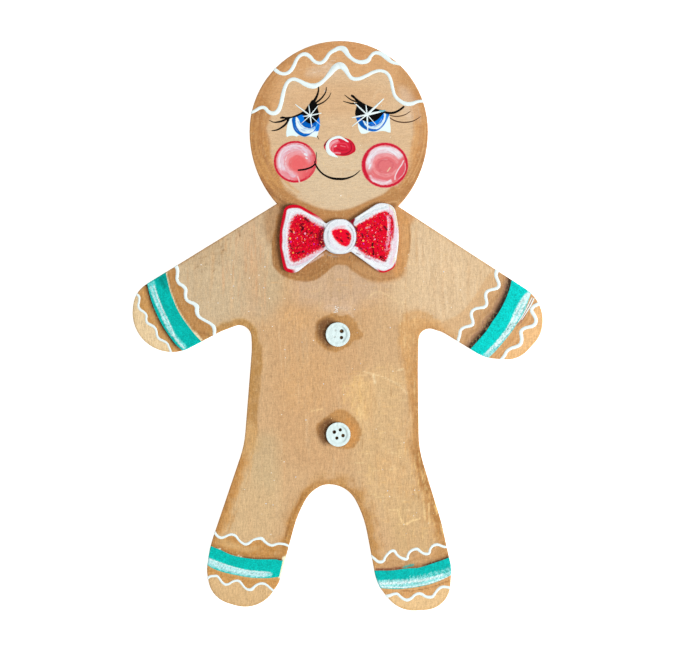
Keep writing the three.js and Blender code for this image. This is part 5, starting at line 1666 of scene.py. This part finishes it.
buttons = {
    "upper": {"x": 0.5, "y": -5, "holes": [(2.5, -3.2, 1), (2.35, -6.65, 0.84)], "dimples": [(-0.9, -2.75),
        (-1.35, -6.25)], "seed": 3},
    "lower": {"x": 0.7, "y": -58.4, "holes": [(-1.45, -57.05, 0.9), (1.7, -55.85, 0.8), (-0.1, -60.25, 0.78),
        (3.2, -58.95, 0.86)], "dimples": [], "seed": 8},
}
disc = {
    "radius": 7.15, "thick": 2.5, "rim": 2.1, "slope": 0.8, "dish": 0.65, "rounding": 0.35,
    "dimple": 0.55, "dimpleFloor": 1.62, "holeFloor": 0.3,      # heights above the underside
    "voxel": 0.17, "lumps": 0.07, "colour": "e2f5f4",
    "look": {
        "grains": [marks((1.6, 1.6), 0.03, 0.5), marks((4, 4), 0.03, 0.3)],
        "bump": 0.4, "roughness": 0.4, "polish": 0.15, "shine": 0.25,
    },
}
buttonPaint = paintMaterial("buttonPaint", disc["look"])
for side, place in buttons.items():
    node = side + "_button"
    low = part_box(node)[0].z / mm
    centre = (place["x"] * mm, place["y"] * mm)
    bpy.ops.mesh.primitive_cylinder_add(vertices=64, radius=disc["radius"] * mm, depth=disc["thick"] * mm,
                                        location=(*centre, (low + disc["thick"] / 2) * mm))
    button = bpy.context.object
    button.name = side + "Button"
    bpy.ops.object.transform_apply(location=True)
    top = (low + disc["thick"]) * mm
    for face in button.data.polygons:
        face.select = face.center.z > top - 1e-6
    bpy.ops.object.mode_set(mode="EDIT")
    bpy.ops.mesh.select_mode(type="FACE")
    bpy.ops.mesh.inset(thickness=disc["rim"] * mm)
    bpy.ops.mesh.inset(thickness=disc["slope"] * mm, depth=-disc["dish"] * mm)
    selectEdges(button, lambda a, b: abs(a.z - b.z) < 1e-7
                and math.hypot(a.x - centre[0], a.y - centre[1]) > (disc["radius"] - 0.1) * mm)
    bpy.ops.mesh.bevel(offset=disc["rounding"] * mm, segments=4, affect="EDGES")
    closeMesh()
    for x, y, wide, floor in ([(*hole, disc["holeFloor"]) for hole in place["holes"]]
                              + [(*spot, disc["dimple"], disc["dimpleFloor"]) for spot in place["dimples"]]):
        bpy.ops.mesh.primitive_cylinder_add(vertices=24, radius=wide * mm, depth=4 * mm,
                                            location=(x * mm, y * mm, (low + floor + 2) * mm))
        cut(button, bpy.context.object, "DIFFERENCE")
    remesh = button.modifiers.new("paintSkin", "REMESH")
    remesh.mode = "VOXEL"
    remesh.voxel_size = disc["voxel"] * mm
    pick(button)
    bpy.ops.object.modifier_apply(modifier=remesh.name)
    coat = startCoat(button, disc["colour"])
    lumps = ripple(coat["xy"], 3.2, place["seed"]) + 0.5 * ripple(coat["xy"], 1.3, place["seed"] + 1)
    onTop = ramp(coat["z"], low + 0.6, low + 1.6)
    coat["relief"] = disc["lumps"] * lumps * onTop
    # painted shade in the dish: a grey ring down its slope
    slopeMiddle = disc["radius"] - disc["rim"] - disc["slope"] / 2
    slopeAway = np.abs(farFrom(coat, place["x"], place["y"]) - slopeMiddle)
    lay(coat, everywhere, 0.4 * ramp(0.9 - slopeAway, 0, 0.9), "cee0de")
    # painted shade, deeper on the right of the slope, the side turned from the key light
    right = ramp(coat["xy"][:, 0] - place["x"], 1.5, 3.5)
    lay(coat, everywhere, 0.8 * right * ramp(0.8 - slopeAway, 0, 0.8), "a6b6b4")
    # darker and warmer low down the sides, next to the board
    lay(coat, everywhere, 0.6 * ramp(low + 0.9 - coat["z"], 0, 0.8), "cec4b4")
    # painted shade in the hollows: the holes near black, the filled holes grey in their dimples
    for x, y, wide in place["holes"]:
        lay(coat, everywhere, ramp(wide + 0.2 - farFrom(coat, x, y), 0, 0.25), "140e08")
    for x, y in place["dimples"]:
        lay(coat, everywhere, 0.6 * ramp(disc["dimple"] + 0.3 - farFrom(coat, x, y), 0, 0.4), "c0c8c4")
    keepCoat(coat)
    raiseRelief(coat, low + 0.2)
    smooth(button, 60)
    settle(button, buttonPaint, node)
print("buttons glued on")

for spare in (shell, skin):
    bpy.data.objects.remove(spare)
